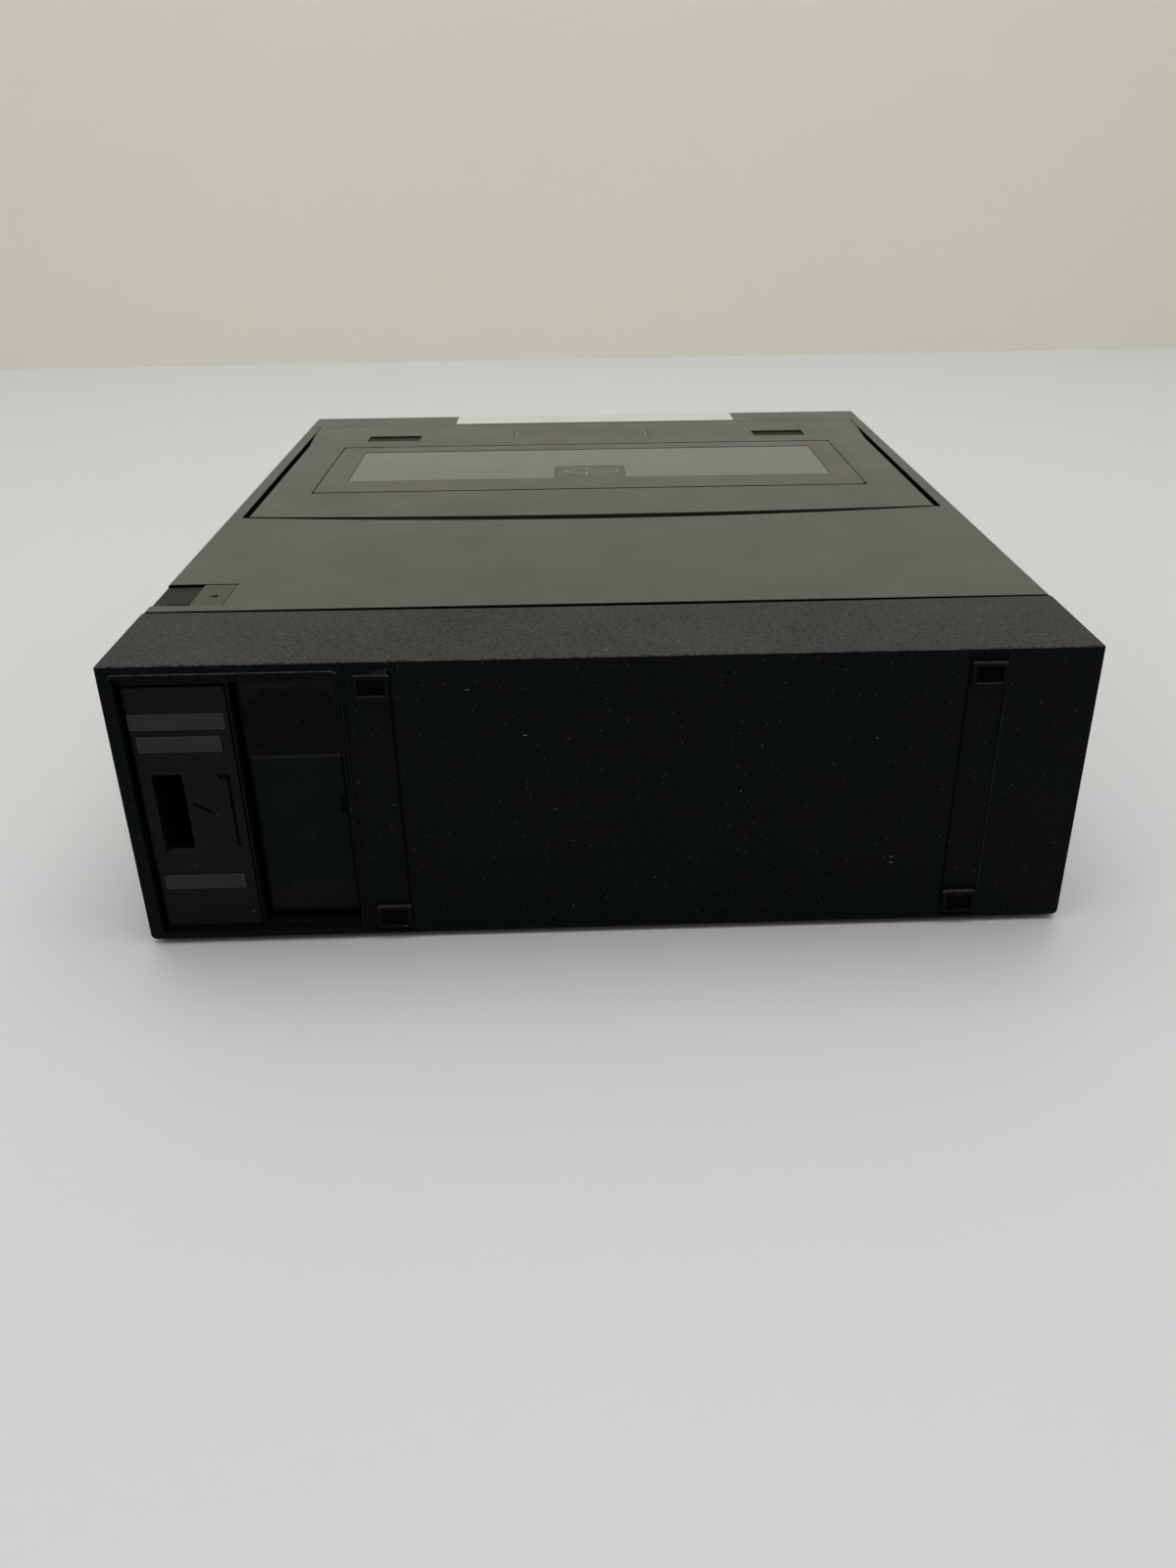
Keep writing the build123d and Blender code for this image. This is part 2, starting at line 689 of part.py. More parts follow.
def above(z):
    """All space over a level, to cut the case in two."""
    return block(-BODY_W, BODY_W, -BODY_D, BODY_D, z, Z_TOP + CUT)


def below(z):
    """All space under a level."""
    return block(-BODY_W, BODY_W, -BODY_D, BODY_D, 0, z)


def deck_boss_places():
    """Where the deck stands on the bottom case."""
    side = DECK_SIDE - DECK_BOSS_IN
    rear = DECK_REAR + 2 * DECK_BOSS_R
    front = DECK_FRONT - DECK_BOSS_FRONT
    return [(side, rear), (BAY_END + DECK_BOSS_BAY, rear), (side, front), (-side, front),
            (-side, CAM_Y + DECK_BOSS_CAM)]


def column_places():
    """Posts of the top cover that take the case screws."""
    x = X_IN - COLUMN_IN
    return [(side * x, y) for side in (-1, 1)
            for y in (Y_COVER + COLUMN_REAR, Y_COVER_END - COLUMN_FRONT)]


def bowed_plate(half_w, y_rear, bow, y_front, z0, z1):
    """A plate whose rear edge bows backwards in the middle."""
    edge = ThreePointArc((-half_w, y_rear), (0, y_rear - bow), (half_w, y_rear))
    sides = Polyline((half_w, y_rear), (half_w, y_front), (-half_w, y_front), (-half_w, y_rear))
    return Pos(0, 0, z0) * extrude(make_face([edge, *sides.edges()]), amount=z1 - z0)


def cross_slot(x, y, z0, z1):
    """The cross in a screw's head."""
    half = SCREW_SLOT / 2
    return (block(x - SLOT_REACH, x + SLOT_REACH, y - half, y + half, z0, z1)
            + block(x - half, x + half, y - SLOT_REACH, y + SLOT_REACH, z0, z1))


# ---- Case shells ----

def bottom_case():
    shell = case_tube(Y_COVER, Y_COVER_END)
    relief = 2 * LAP + 2
    shell += case_laps() - block(-DECK_SIDE, DECK_SIDE, Y_COVER_END - relief, Y_SEAM + relief,
                                 Z_FLOOR + relief, Z_CEILING)
    shell = shell & below(Z_SPLIT)
    for x, y in deck_boss_places():
        shell += disc(x, y, Z_FLOOR, Z_UNDECK, DECK_BOSS_R)
        shell -= disc(x, y, Z_UNDECK - SCREW_L, Z_UNDECK + CUT, SCREW_R)
    for x, y in board_boss_places():
        shell += disc(x, y, Z_FLOOR, Z_BOARD, BOARD_BOSS_R)
    for x, y in column_places():
        shell -= disc(x, y, Z_BASE - CUT, Z_FLOOR + CUT, SCREW_R + SCREW_PLAY)
        shell -= disc(x, y, Z_BASE - CUT, Z_BASE + SCREW_HEAD_H, SCREW_HEAD_R + 2 * SCREW_PLAY)
    return shell


def slider_pocket(z0, wall=0.0):
    """The recess of the battery slider, open to the left side."""
    return block(-X_SIDE - CUT, SLIDER_X + SLIDER_L + CLEAR + wall, SLIDER_REAR - wall,
                 SLIDER_REAR + SLIDER_W + 2 * CLEAR + wall, z0, Z_TOP + CUT)


def top_cover():
    shell = case_tube(Y_COVER, Y_COVER_END)
    shell += case_laps()
    shell = shell & above(Z_SPLIT + SPLIT_GAP)
    inside = X_COVER - CUT
    z_rail = Z_TOP - RAIL_H
    for side in (-1, 1):
        shell += block(side * inside, side * OPENING_X, LID_REAR - RAIL_REAR, Y_COVER_END,
                       z_rail, Z_CEILING)
    z_pocket = Z_TOP - SLIDER_POCKET
    tub = slider_pocket(z_pocket - LAP_WALL, LAP_WALL)
    shell += tub & block(-inside, 0, Y_COVER, Y_FRONT, 0, Z_CEILING + BITE)
    shell -= slider_pocket(z_pocket)
    half = STEM_W / 2 + CLEAR
    shell -= block(SLIDER_X + STEM_INSET - SLIDER_TRAVEL - CLEAR,
                   SLIDER_X + SLIDER_L - STEM_INSET + CLEAR,
                   STEM_Y - half, STEM_Y + half, Z_TOP - STEM_L - CUT, Z_TOP)
    opening = bowed_plate(OPENING_X, LID_REAR - OPENING_REAR_GAP, OPENING_BOW, Y_FRONT,
                          z_rail - CUT, Z_TOP + CUT)
    shell -= opening & block(-X_SIDE, X_SIDE, LID_REAR - 2 * OPENING_BOW, Y_FRONT,
                             z_rail - CUT, Z_TOP + CUT)
    for side in (-1, 1):
        shell -= rod_x(HINGE_Y, HINGE_Z, side * OPENING_X, side * (OPENING_X + LID_PIN_HOLE),
                       LID_PIN_R + RUN_CLEAR)
    half = COLUMN / 2
    for x, y in column_places():
        side = 1 if x > 0 else -1
        z_column = z_rail - COLUMN_BELOW_RAIL
        shell += block(x - half * side, side * (X_IN - CLEAR), y - half, y + half,
                       Z_FLOOR + CLEAR, z_column)
        shell += block(x, side * (X_IN + BITE), y - half, y + half,
                       Z_SPLIT + COLUMN_LIFT, z_column)
        shell -= disc(x, y, Z_FLOOR, Z_FLOOR + COLUMN_SCREW, SCREW_R)
    return shell


def rear_cap():
    outer = case_bar(BODY_W, Y_REAR, Y_CAP + CUT)
    outer = fillet(outer.faces().sort_by(Axis.Y)[0].edges(), END_R)
    shell = outer - cap_bow()
    y_wall = Y_REAR + REAR_WALL
    shell -= block(-X_IN, X_IN, y_wall, Y_CAP + CUT, Z_FLOOR, Z_CEILING)
    # The bead round the connector field, and the field sunk inside it.
    low, high = Z_BASE + PANEL_LOW, Z_TOP - PANEL_DOWN
    bead = block(PANEL_X, PANEL_END, Y_REAR - BEAD_PROUD, Y_REAR + CUT, low, high)
    bead = fillet(bead.edges().filter_by(Axis.Y), EDGE_R)
    bead = fillet(bead.faces().sort_by(Axis.Y)[0].edges(), BEAD_PROUD / 2)
    shell += bead
    shell -= block(PANEL_X + BEAD_W, PANEL_END - BEAD_W, Y_REAR - CUT, Y_REAR + PANEL_SINK,
                   low + BEAD_W, high - BEAD_W)
    shell -= block(DOOR_X - DOOR_GAP, DOOR_END + DOOR_GAP, Y_REAR, y_wall + CUT,
                   DOOR_Z - DOOR_GAP, DOOR_TOP + DOOR_HEADROOM)
    shell -= block(BAY_X, BAY_END, Y_REAR - CUT, y_wall + CUT, BAY_Z, BAY_TOP)
    # Ears above and below the door hold its pins.
    for root, tip in door_pin_spans():
        up = 1 if tip > root else -1
        shell += block(-X_IN - BITE, DOOR_AXIS_X + EAR_R, y_wall - BITE, DOOR_AXIS_Y + EAR_R,
                       root + up * EAR_GAP, tip)
        shell -= disc(DOOR_AXIS_X, DOOR_AXIS_Y, root, tip + up * PIN_END, DOOR_PIN_R + RUN_CLEAR)
    # Two shallow channels with lugs at their ends.
    for x0, x1 in channel_spans():
        shell -= block(x0, x1, Y_REAR - CUT, Y_REAR + CHANNEL_DEEP,
                       Z_BASE + CHANNEL_END, Z_TOP - CHANNEL_END)
        for z in (Z_TOP - LUG_TOP_DOWN - LUG_H / 2, Z_BASE + LUG_LOW + LUG_H / 2):
            shell += lug(x1 - LUG_SIDE - LUG_W / 2, z)
    for x, y in cap_boss_places():
        shell += disc(x, y, Z_FLOOR, Z_BOARD, BOARD_BOSS_R)
    return shell


def cap_bow():
    """What is taken off behind the cap's edge: an arc through its two corners."""
    radius = (X_SIDE ** 2 + CAP_BOW ** 2) / (2 * CAP_BOW)
    reach = X_SIDE + CUT
    y_reach = radius - CAP_BOW - sqrt(radius ** 2 - reach ** 2)
    edge = ThreePointArc((-reach, y_reach), (0, -CAP_BOW), (reach, y_reach))
    rest = Polyline((reach, y_reach), (reach, 2 * CUT), (-reach, 2 * CUT), (-reach, y_reach))
    return Pos(0, Y_CAP, 0) * extrude(make_face([edge, *rest.edges()]), amount=Z_TOP + CUT)


def lug(x, z):
    """A raised frame round a small pocket."""
    half_w, half_h = LUG_W / 2, LUG_H / 2
    face, floor = Y_REAR - LUG_PROUD, Y_REAR + CHANNEL_DEEP
    frame = block(x - half_w, x + half_w, face, floor + BITE, z - half_h, z + half_h)
    frame = fillet(frame.edges().filter_by(Axis.Y), LUG_R)
    in_w, in_h = half_w - LUG_RIM, half_h - LUG_RIM
    return frame - block(x - in_w, x + in_w, face - CUT, floor - LUG_FLOOR, z - in_h, z + in_h)


def channel_spans():
    """Left and right edges of the two channels."""
    left = PANEL_END + CHANNEL_GAP
    right = X_SIDE - CHANNEL_RIGHT_SIDE
    return [(left, left + CHANNEL_W), (right - CHANNEL_RIGHT_W, right)]


def door_pin_spans():
    """Each pin's root and tip, bottom then top."""
    return [(DOOR_Z, DOOR_Z - DOOR_GAP - DOOR_PIN_L / 2),
            (DOOR_TOP, DOOR_TOP + DOOR_HEADROOM + DOOR_PIN_L)]


def front_panel():
    outer = case_bar(2 * X_COVER, Y_SEAM, Y_FRONT)
    outer = fillet(outer.faces().sort_by(Axis.Y)[-1].edges(), END_R)
    shell = outer - block(-X_IN, X_IN, Y_SEAM - CUT, Y_PANEL_IN, Z_FLOOR, Z_CEILING)
    y0, y1 = Y_PANEL_IN - CUT, Y_FRONT + CUT
    half_w, half_h = KEY_W / 2 + CLEAR, KEY_H / 2 + CLEAR
    for x in key_places():
        shell -= block(x - half_w, x + half_w, y0, y1, Z_KEY - half_h, Z_KEY + half_h)
    half_w, half_h = DISPLAY_W / 2, DISPLAY_H / 2
    shell -= block(DISPLAY_X - half_w, DISPLAY_X + half_w, y0, y1,
                   Z_LOWER_ROW - half_h, Z_LOWER_ROW + half_h)
    half_w, half_h = (SWITCH_W + SWITCH_TRAVEL) / 2 + CLEAR, SWITCH_H / 2 + CLEAR
    shell -= block(SWITCH_X - half_w, SWITCH_X + half_w, y0, y1,
                   Z_LOWER_ROW - half_h, Z_LOWER_ROW + half_h)
    shell -= rod_y(KNOB_X, Z_KEY, y0, y1, KNOB_R + CLEAR)
    shell -= rod_y(SOCKET_X, Z_KEY, y0, y1, SOCKET_R)
    x0, x1 = jack_field()
    z0, z1 = Z_LOWER_ROW - JACK_FIELD, Z_LOWER_ROW + JACK_FIELD
    shell += block(x0 - JACK_WALL, x1 + JACK_WALL, JACK_BACK - JACK_WALL, Y_PANEL_IN,
                   z0 - JACK_WALL, z1 + JACK_WALL)
    shell -= block(x0, x1, JACK_BACK, y1, z0, z1)
    for x in jack_places():
        shell -= rod_y(x, Z_LOWER_ROW, JACK_BACK - 2 * JACK_WALL, JACK_BACK + CUT, JACK_R)
    return shell


def key_places():
    """Middles of the keys, from the eject key on."""
    count = len(KEY_NAMES)
    return [KEY_LAST_X + KEY_PITCH * (count - 1 - i) for i in range(count)]


def jack_places():
    first = X_COVER - JACK_SIDE - JACK_PITCH * (JACK_COUNT - 1)
    return [first + JACK_PITCH * i for i in range(JACK_COUNT)]


def jack_field():
    """Left and right ends of the jacks' pocket."""
    places = jack_places()
    return places[0] - JACK_PITCH / 2, places[-1] + JACK_R + JACK_FIELD_END


def rubber_feet():
    feet = []
    for x in (-FOOT_X, FOOT_X):
        for y in (Y_REAR + FOOT_REAR, Y_FRONT - FOOT_FRONT):
            foot = disc(x, y, 0, FOOT_H, FOOT_R)
            feet.append(fillet(foot.edges().sort_by(Axis.Z)[0], FOOT_EDGE))
    return feet


def case_screws():
    screws = []
    for x, y in column_places():
        head = disc(x, y, Z_BASE + SCREW_SUNK, Z_BASE + SCREW_HEAD_H, SCREW_HEAD_R)
        head -= cross_slot(x, y, Z_BASE, Z_BASE + SCREW_SLOT_DEEP)
        screws.append(head + disc(x, y, Z_BASE + CUT, Z_FLOOR + COLUMN_SCREW - CUT, SCREW_R))
    return screws


# ---- Connector field ----

def connector_door():
    door = block(DOOR_AXIS_X, DOOR_END, DOOR_Y, DOOR_BACK, DOOR_Z, DOOR_TOP)
    door += disc(DOOR_AXIS_X, DOOR_AXIS_Y, DOOR_Z, DOOR_TOP, DOOR_T / 2)
    for root, tip in door_pin_spans():
        door += disc(DOOR_AXIS_X, DOOR_AXIS_Y, root, tip, DOOR_PIN_R)
    y0 = DOOR_Y - CUT
    door -= block(SLOT_X, SLOT_X + SLOT_W, y0, DOOR_BACK + CUT, SLOT_Z, SLOT_Z + SLOT_H)
    groove_x = DOOR_END - GROOVE_INSET
    z_groove = SLOT_Z + SLOT_H
    door -= block(groove_x, groove_x + GROOVE_W, y0, DOOR_Y + GROOVE_DEEP,
                  SLOT_Z + GROOVE_UP, z_groove)
    door -= block(groove_x - GROOVE_HOOK, groove_x + GROOVE_W / 2, y0, DOOR_Y + GROOVE_DEEP,
                  z_groove - GROOVE_HOOK_H, z_groove)
    for x0, x1, low, high in door_plates():
        door += block(x0, x1, DOOR_Y - PLATE_PROUD, DOOR_Y + BITE, low, high)
    return door


def door_plates():
    """The bare plates: left, right, lower and upper edges."""
    plates = []
    for left, right, down, height in UPPER_PLATES:
        high = DOOR_TOP - down
        plates.append((DOOR_X + left, DOOR_END - right, high - height, high))
    left, right, up, height = LOWER_PLATE
    low = DOOR_Z + up
    plates.append((DOOR_X + left, DOOR_END - right, low, low + height))
    return plates


def jack_panel():
    y0, y1 = JACK_PANEL_Y, JACK_PANEL_Y + JACK_PANEL_T
    plate = block(-X_IN + CLEAR, BAY_X - TRAY_WALL - CLEAR, y0, y1,
                  Z_FLOOR + CLEAR, Z_CEILING - CLEAR)
    x0, x1, z0, z1 = socket_outline()
    plate -= block(x0, x1, y0 - CUT, y1 + CUT, z0, z1)
    return plate - rod_y(AERIAL_X, AERIAL_Z, y0 - CUT, y1 + CUT, AERIAL_R + 1.5 * CLEAR)


def socket_outline():
    """The adaptor socket's body: left, right, bottom, top."""
    return (SLOT_X - SLOT_RIM, SLOT_X + SLOT_W + SLOT_RIM,
            SLOT_Z - SLOT_RIM, SLOT_Z + SLOT_H + SLOT_RIM)


def adaptor_socket():
    x0, x1, z0, z1 = socket_outline()
    y0 = DOOR_BACK + CLEAR
    y_floor = y0 + SLOT_DEPTH
    body = block(x0, x1, y0, y_floor + SLOT_FLOOR, z0, z1)
    body -= block(SLOT_X, SLOT_X + SLOT_W, y0 - CUT, y_floor, SLOT_Z, SLOT_Z + SLOT_H)
    row = CONTACT_PITCH * (CONTACT_COUNT - 1)
    first = SLOT_Z + (SLOT_H - row) / 2
    for i in range(CONTACT_COUNT):
        z = first + CONTACT_PITCH * i
        body += block(SLOT_X - BITE, SLOT_X + CONTACT_PROUD, y0 + CONTACT_BACK, y_floor + BITE,
                      z - CONTACT_T / 2, z + CONTACT_T / 2)
    return body


def rf_modulator():
    y0 = JACK_PANEL_Y + JACK_PANEL_T
    can = block(AERIAL_X - CAN_W / 2, AERIAL_X + CAN_W / 2, y0, y0 + CAN_L,
                Z_FLOOR + CAN_LIFT, Z_FLOOR + CAN_LIFT + CAN_TALL)
    can = fillet(can.edges().filter_by(Axis.Y), CAN_EDGE)
    barrel = rod_y(AERIAL_X, AERIAL_Z, y0 - AERIAL_L, y0 + BITE, AERIAL_R)
    core = rod_y(AERIAL_X, AERIAL_Z, y0 - AERIAL_L - CUT, y0 + CUT, AERIAL_R - THREAD_DEEP)
    for i in range(AERIAL_THREADS):
        y = y0 - AERIAL_L + THREAD_FIRST + THREAD_PITCH * i
        barrel -= rod_y(AERIAL_X, AERIAL_Z, y, y + THREAD_W, AERIAL_R + CUT) - core
    barrel -= rod_y(AERIAL_X, AERIAL_Z, y0 - AERIAL_L - CUT, y0 - AERIAL_L + AERIAL_BORE,
                    AERIAL_BORE_R)
    return can + barrel


# ---- Battery ----

def terminal_heights():
    """Middles of the two terminal blocks at the end of the bay."""
    return [BAY_Z + TERMINAL_INSET, BAY_TOP - TERMINAL_INSET]


def battery_tray():
    tray = block(BAY_X - TRAY_WALL, BAY_END + TRAY_WALL, TRAY_Y, TRAY_END + TRAY_WALL,
                 BAY_Z - TRAY_WALL, BAY_TOP + TRAY_WALL)
    tray -= block(BAY_X, BAY_END, TRAY_Y - CUT, TRAY_END, BAY_Z, BAY_TOP)
    # A slot for the slider's nose.
    half = NOSE_W / 2 + CUT
    tray -= block(BAY_X - TRAY_WALL - CUT, BAY_X + CUT, STEM_Y - half, STEM_Y + half,
                  BAY_TOP - NOSE_SLOT, BAY_TOP + TRAY_WALL + CUT)
    half = TERMINAL / 2
    for z in terminal_heights():
        tray += block(BAY_X + TERMINAL_SIDE, BAY_END - TERMINAL_SIDE, TRAY_END - WALL,
                      TRAY_END + BITE, z - half, z + half)
    return tray


def battery_pack():
    x0, x1 = BAY_X + BAY_CLEAR, BAY_END - BAY_CLEAR
    z0 = BAY_Z + BAY_CLEAR
    pack = block(x0, x1, BATTERY_Y, BATTERY_END, z0, BAY_TOP - BAY_CLEAR)
    pack = fillet(pack.edges(), BATTERY_R)
    # A thumb notch in the end face.
    x_notch, z_notch = x1 - NOTCH_SIDE, z0 + NOTCH_UP
    return pack - block(x_notch - NOTCH_W, x_notch, BATTERY_Y - CUT, BATTERY_Y + NOTCH_DEEP,
                        z_notch - NOTCH_H / 2, z_notch + NOTCH_H / 2)


def battery_contacts():
    """Two bent leaves on the tray's end blocks."""
    leaves = []
    y_block = TRAY_END - WALL
    y_touch = BATTERY_END + CLEAR
    x = (BAY_X + BAY_END) / 2
    x0, x1 = x - LEAF_W / 2, x + LEAF_W / 2
    half = TERMINAL / 2 - BITE
    for z in terminal_heights():
        leaf = block(x0, x1, y_block - LEAF_T, y_block, z - half, z + half)
        leaf += block(x0, x1, y_touch, y_block, z - CUT, z - CUT + LEAF_T)
        leaf += block(x0, x1, y_touch, y_touch + LEAF_T, z - CUT, z + half - CUT)
        leaves.append(leaf)
    return leaves


def battery_slider():
    z_low = Z_TOP - SLIDER_POCKET + CLEAR
    half = SLIDER_W / 2
    knob = block(SLIDER_X, SLIDER_X + SLIDER_L, SLIDER_Y - half, SLIDER_Y + half,
                 z_low, Z_TOP - SLIDER_LOW)
    knob = fillet(knob.edges().filter_by(Axis.Z), SLIDER_R)
    x0 = SLIDER_X + STEM_INSET
    z_stem = Z_TOP - STEM_L
    stem = block(x0, SLIDER_X + SLIDER_L - STEM_INSET, STEM_Y - STEM_W / 2,
                 STEM_Y + STEM_W / 2, z_stem, z_low + BITE / 2)
    nose = block(x0, BAY_X + BAY_CLEAR - CLEAR, STEM_Y - NOSE_W / 2, STEM_Y + NOSE_W / 2,
                 z_stem - NOSE_T + BITE / 2, z_stem + BITE / 2)
    return knob + stem + nose


# ---- Lid ----

def lid_outline(z0, z1, shrink=0.0):
    """The lid seen from above: bowed rear edge, wider at the front corners."""
    half = LID_HALF - shrink
    wide = half + LID_FLARE
    rear = LID_REAR + shrink
    front = LID_FRONT - shrink
    edge = ThreePointArc((-half, rear), (0, rear - LID_BOW), (half, rear))
    rest = Polyline((half, rear), (half, front - LID_FLARE_AT), (wide, front - LID_FLARE_FULL),
                    (wide, front), (-wide, front), (-wide, front - LID_FLARE_FULL),
                    (-half, front - LID_FLARE_AT), (-half, rear))
    return Pos(0, 0, z0) * extrude(make_face([edge, *rest.edges()]), amount=z1 - z0)


def inlay_box(grow, grow_y, z0, z1):
    """The window inlay's rectangle, grown at its sides and at its rear and front."""
    half = INLAY_HALF + grow
    return block(LID_FIELD_X - half, LID_FIELD_X + half, INLAY_FRONT - INLAY_D - grow_y,
                 INLAY_FRONT + grow_y, z0, z1)


def pane_box(z0, z1):
    return block(LID_FIELD_X - PANE_HALF, LID_FIELD_X + PANE_HALF,
                 PANE_FRONT - PANE_D, PANE_FRONT, z0, z1)


def tab_box(z0, z1):
    y0 = PANE_FRONT - PANE_D
    return block(LID_FIELD_X - TAB_W / 2, LID_FIELD_X + TAB_W / 2,
                 y0 - HAIR, y0 + TAB_D, z0, z1)


def cassette_lid():
    lid = lid_outline(Z_LID, Z_TOP)
    z_skirt = Z_TOP - SKIRT_H
    skirt = lid_outline(z_skirt, Z_LID) - lid_outline(z_skirt, Z_LID, SKIRT_T)
    clear_x = LID_HALF - HINGE_BLOCK - CUT
    lid += skirt - block(-clear_x, clear_x, LID_REAR - 2 * LID_BOW, LID_REAR + SKIRT_REAR, 0, Z_TOP)
    for side in (-1, 1):
        x0, x1 = side * LID_HALF, side * (LID_HALF - HINGE_BLOCK)
        lid += block(x0, x1, LID_REAR, HINGE_Y + HINGE_WALL, HINGE_Z - HINGE_WALL, Z_LID)
        lid -= rod_x(HINGE_Y, HINGE_Z, x0, x1 - side * BITE, LID_PIN_R)
    lid -= inlay_box(INLAY_GAP, INLAY_GAP_Y, Z_TOP - INLAY_T, Z_TOP + CUT)
    lid -= inlay_box(-INLAY_LEDGE, -INLAY_LEDGE, Z_LID - CUT, Z_TOP)
    y1 = LID_FRONT - GRIP_FROM_FRONT
    for side in (-1, 1):
        x = side * (LID_HALF - GRIP_SIDE) + LID_FIELD_X
        lid -= block(x - GRIP_W / 2, x + GRIP_W / 2, y1 - GRIP_D, y1,
                     Z_TOP - GRIP_SINK, Z_TOP + CUT)
    lid -= badge_box(0, Z_TOP - BADGE_T, Z_TOP + CUT)
    for x, y in basket_boss_places():
        lid += disc(x, y, Z_BASKET, Z_LID + BITE, BASKET_BOSS_R)
    # The keeper that the latch can hook.
    half_t, half_d = KEEPER_T / 2, KEEPER_D / 2
    lid += block(KEEPER_X - half_t, KEEPER_X + half_t, KEEPER_Y - half_d, KEEPER_Y + half_d,
                 KEEPER_Z - 2 * HOOK_T, Z_LID + BITE)
    return lid - block(KEEPER_X - half_t - BITE, KEEPER_X + half_t + BITE,
                       KEEPER_Y - half_d / 2, KEEPER_Y + half_d + CUT,
                       KEEPER_Z - KEEPER_LIP, KEEPER_Z + KEEPER_WINDOW)


def badge_box(shrink, z0, z1):
    y1 = LID_FRONT - BADGE_FROM_FRONT
    half = BADGE_W / 2 - shrink
    return block(BADGE_X - half, BADGE_X + half, y1 - BADGE_D + shrink, y1 - shrink, z0, z1)


def lid_badge():
    return badge_box(BADGE_GAP, Z_TOP - BADGE_T, Z_TOP)


def lid_pins():
    inner = LID_HALF - LID_PIN_IN
    return [rod_x(HINGE_Y, HINGE_Z, side * inner, side * (inner + LID_PIN_L), LID_PIN_R)
            for side in (-1, 1)]


def window_bezel():
    bezel = inlay_box(0, 0, Z_TOP - INLAY_T, Z_TOP)
    bezel = fillet(bezel.edges().filter_by(Axis.Z), EDGE_R)
    low, high = Z_TOP - INLAY_T - CUT, Z_TOP + CUT
    return bezel - (pane_box(low, high) - tab_box(low, high))


def window_pane():
    return pane_box(Z_TOP - INLAY_T, Z_TOP - PANE_LOW) - tab_box(Z_TOP - INLAY_T - CUT, Z_TOP + CUT)


def basket_boss_places():
    """Bosses that hang the basket under the lid."""
    x = PANE_HALF + BASKET_BOSS_OUT
    rear = INLAY_FRONT - INLAY_D + INLAY_LEDGE - 2 * BASKET_BOSS_R
    return [(side * x, y) for side in (-1, 1) for y in (rear, Y_CASSETTE - BASKET_BOSS_FRONT)]


def cassette_basket():
    half = CASSETTE_W / 2 + BASKET_CLEAR
    rear, front = Y_TAPE - BASKET_REAR, Y_CASSETTE + BASKET_FRONT
    z_low = Z_CASSETTE
    basket = block(-half - SHEET, half + SHEET, rear, front, z_low - SHEET, Z_BASKET)
    basket -= block(-half, half, rear - CUT, front + CUT, z_low, Z_BASKET - SHEET)
    basket -= block(-half + LIP_W, half - LIP_W, rear - CUT, front + CUT,
                    z_low - SHEET - CUT, z_low + CUT)
    # The window over the reels, and lightening cuts in the sides.
    basket -= block(LID_FIELD_X - PANE_HALF, LID_FIELD_X + PANE_HALF,
                    PANE_FRONT - PANE_D - WINDOW_ROOM,
                    PANE_FRONT + WINDOW_ROOM, Z_BASKET - SHEET - CUT, Z_BASKET + CUT)
    for along in SIDE_CUTS:
        y = rear + along
        basket -= block(-half - 2 * SHEET, half + 2 * SHEET, y, y + SIDE_CUT_L,
                        z_low + SIDE_CUT_UP, Z_BASKET - SIDE_CUT_DOWN)
    # The mouth flares so that a cassette finds its way in.
    lead = block(-half - SHEET, half + SHEET, front - HAIR, front + LEAD_IN, z_low - SHEET, z_low)
    lead -= block(-half + LIP_W, half - LIP_W, front - CUT, front + LEAD_IN + CUT,
                  z_low - SHEET - CUT, z_low + CUT)
    return basket + lead


def lid_latch():
    """A hook on a cross pin, drawn back from the keeper."""
    y, z = LATCH_Y, LATCH_Z
    x0, x1 = KEEPER_X - LATCH_T / 2, KEEPER_X + LATCH_T / 2
    half = LATCH_ARM / 2
    z_hook = KEEPER_Z + HOOK_UP
    arm = block(x0, x1, y - half, y + half, z - LATCH_HUB_R, z_hook + HOOK_T)
    arm += block(x0, x1, y - half - HOOK_OUT, y - half + BITE, z_hook, z_hook + HOOK_T)
    arm += rod_x(y, z, x0, x1, LATCH_HUB_R)
    return arm - rod_x(y, z, x0 - CUT, x1 + CUT, AXLE_R + RUN_CLEAR)


# ---- Deck ----

def guide_path(side):
    """Start and end of a loading guide's slot."""
    start = (side * GUIDE_X, Y_TAPE + GUIDE_IN)
    end = (side * (GUIDE_X + GUIDE_SPREAD), Y_TAPE + GUIDE_IN - GUIDE_TRAVEL)
    return start, end


def direction(start, end):
    """Angle in degrees from one point to another."""
    return degrees(atan2(end[1] - start[1], end[0] - start[0]))


def slot_solid(start, end, width, z0, z1):
    """An upright slot-shaped solid between two points."""
    length = hypot(end[0] - start[0], end[1] - start[1])
    bar = Pos(0, 0, z0) * extrude(SlotCenterToCenter(length, width), amount=z1 - z0)
    return turned((start[0] + end[0]) / 2, (start[1] + end[1]) / 2, direction(start, end), bar)


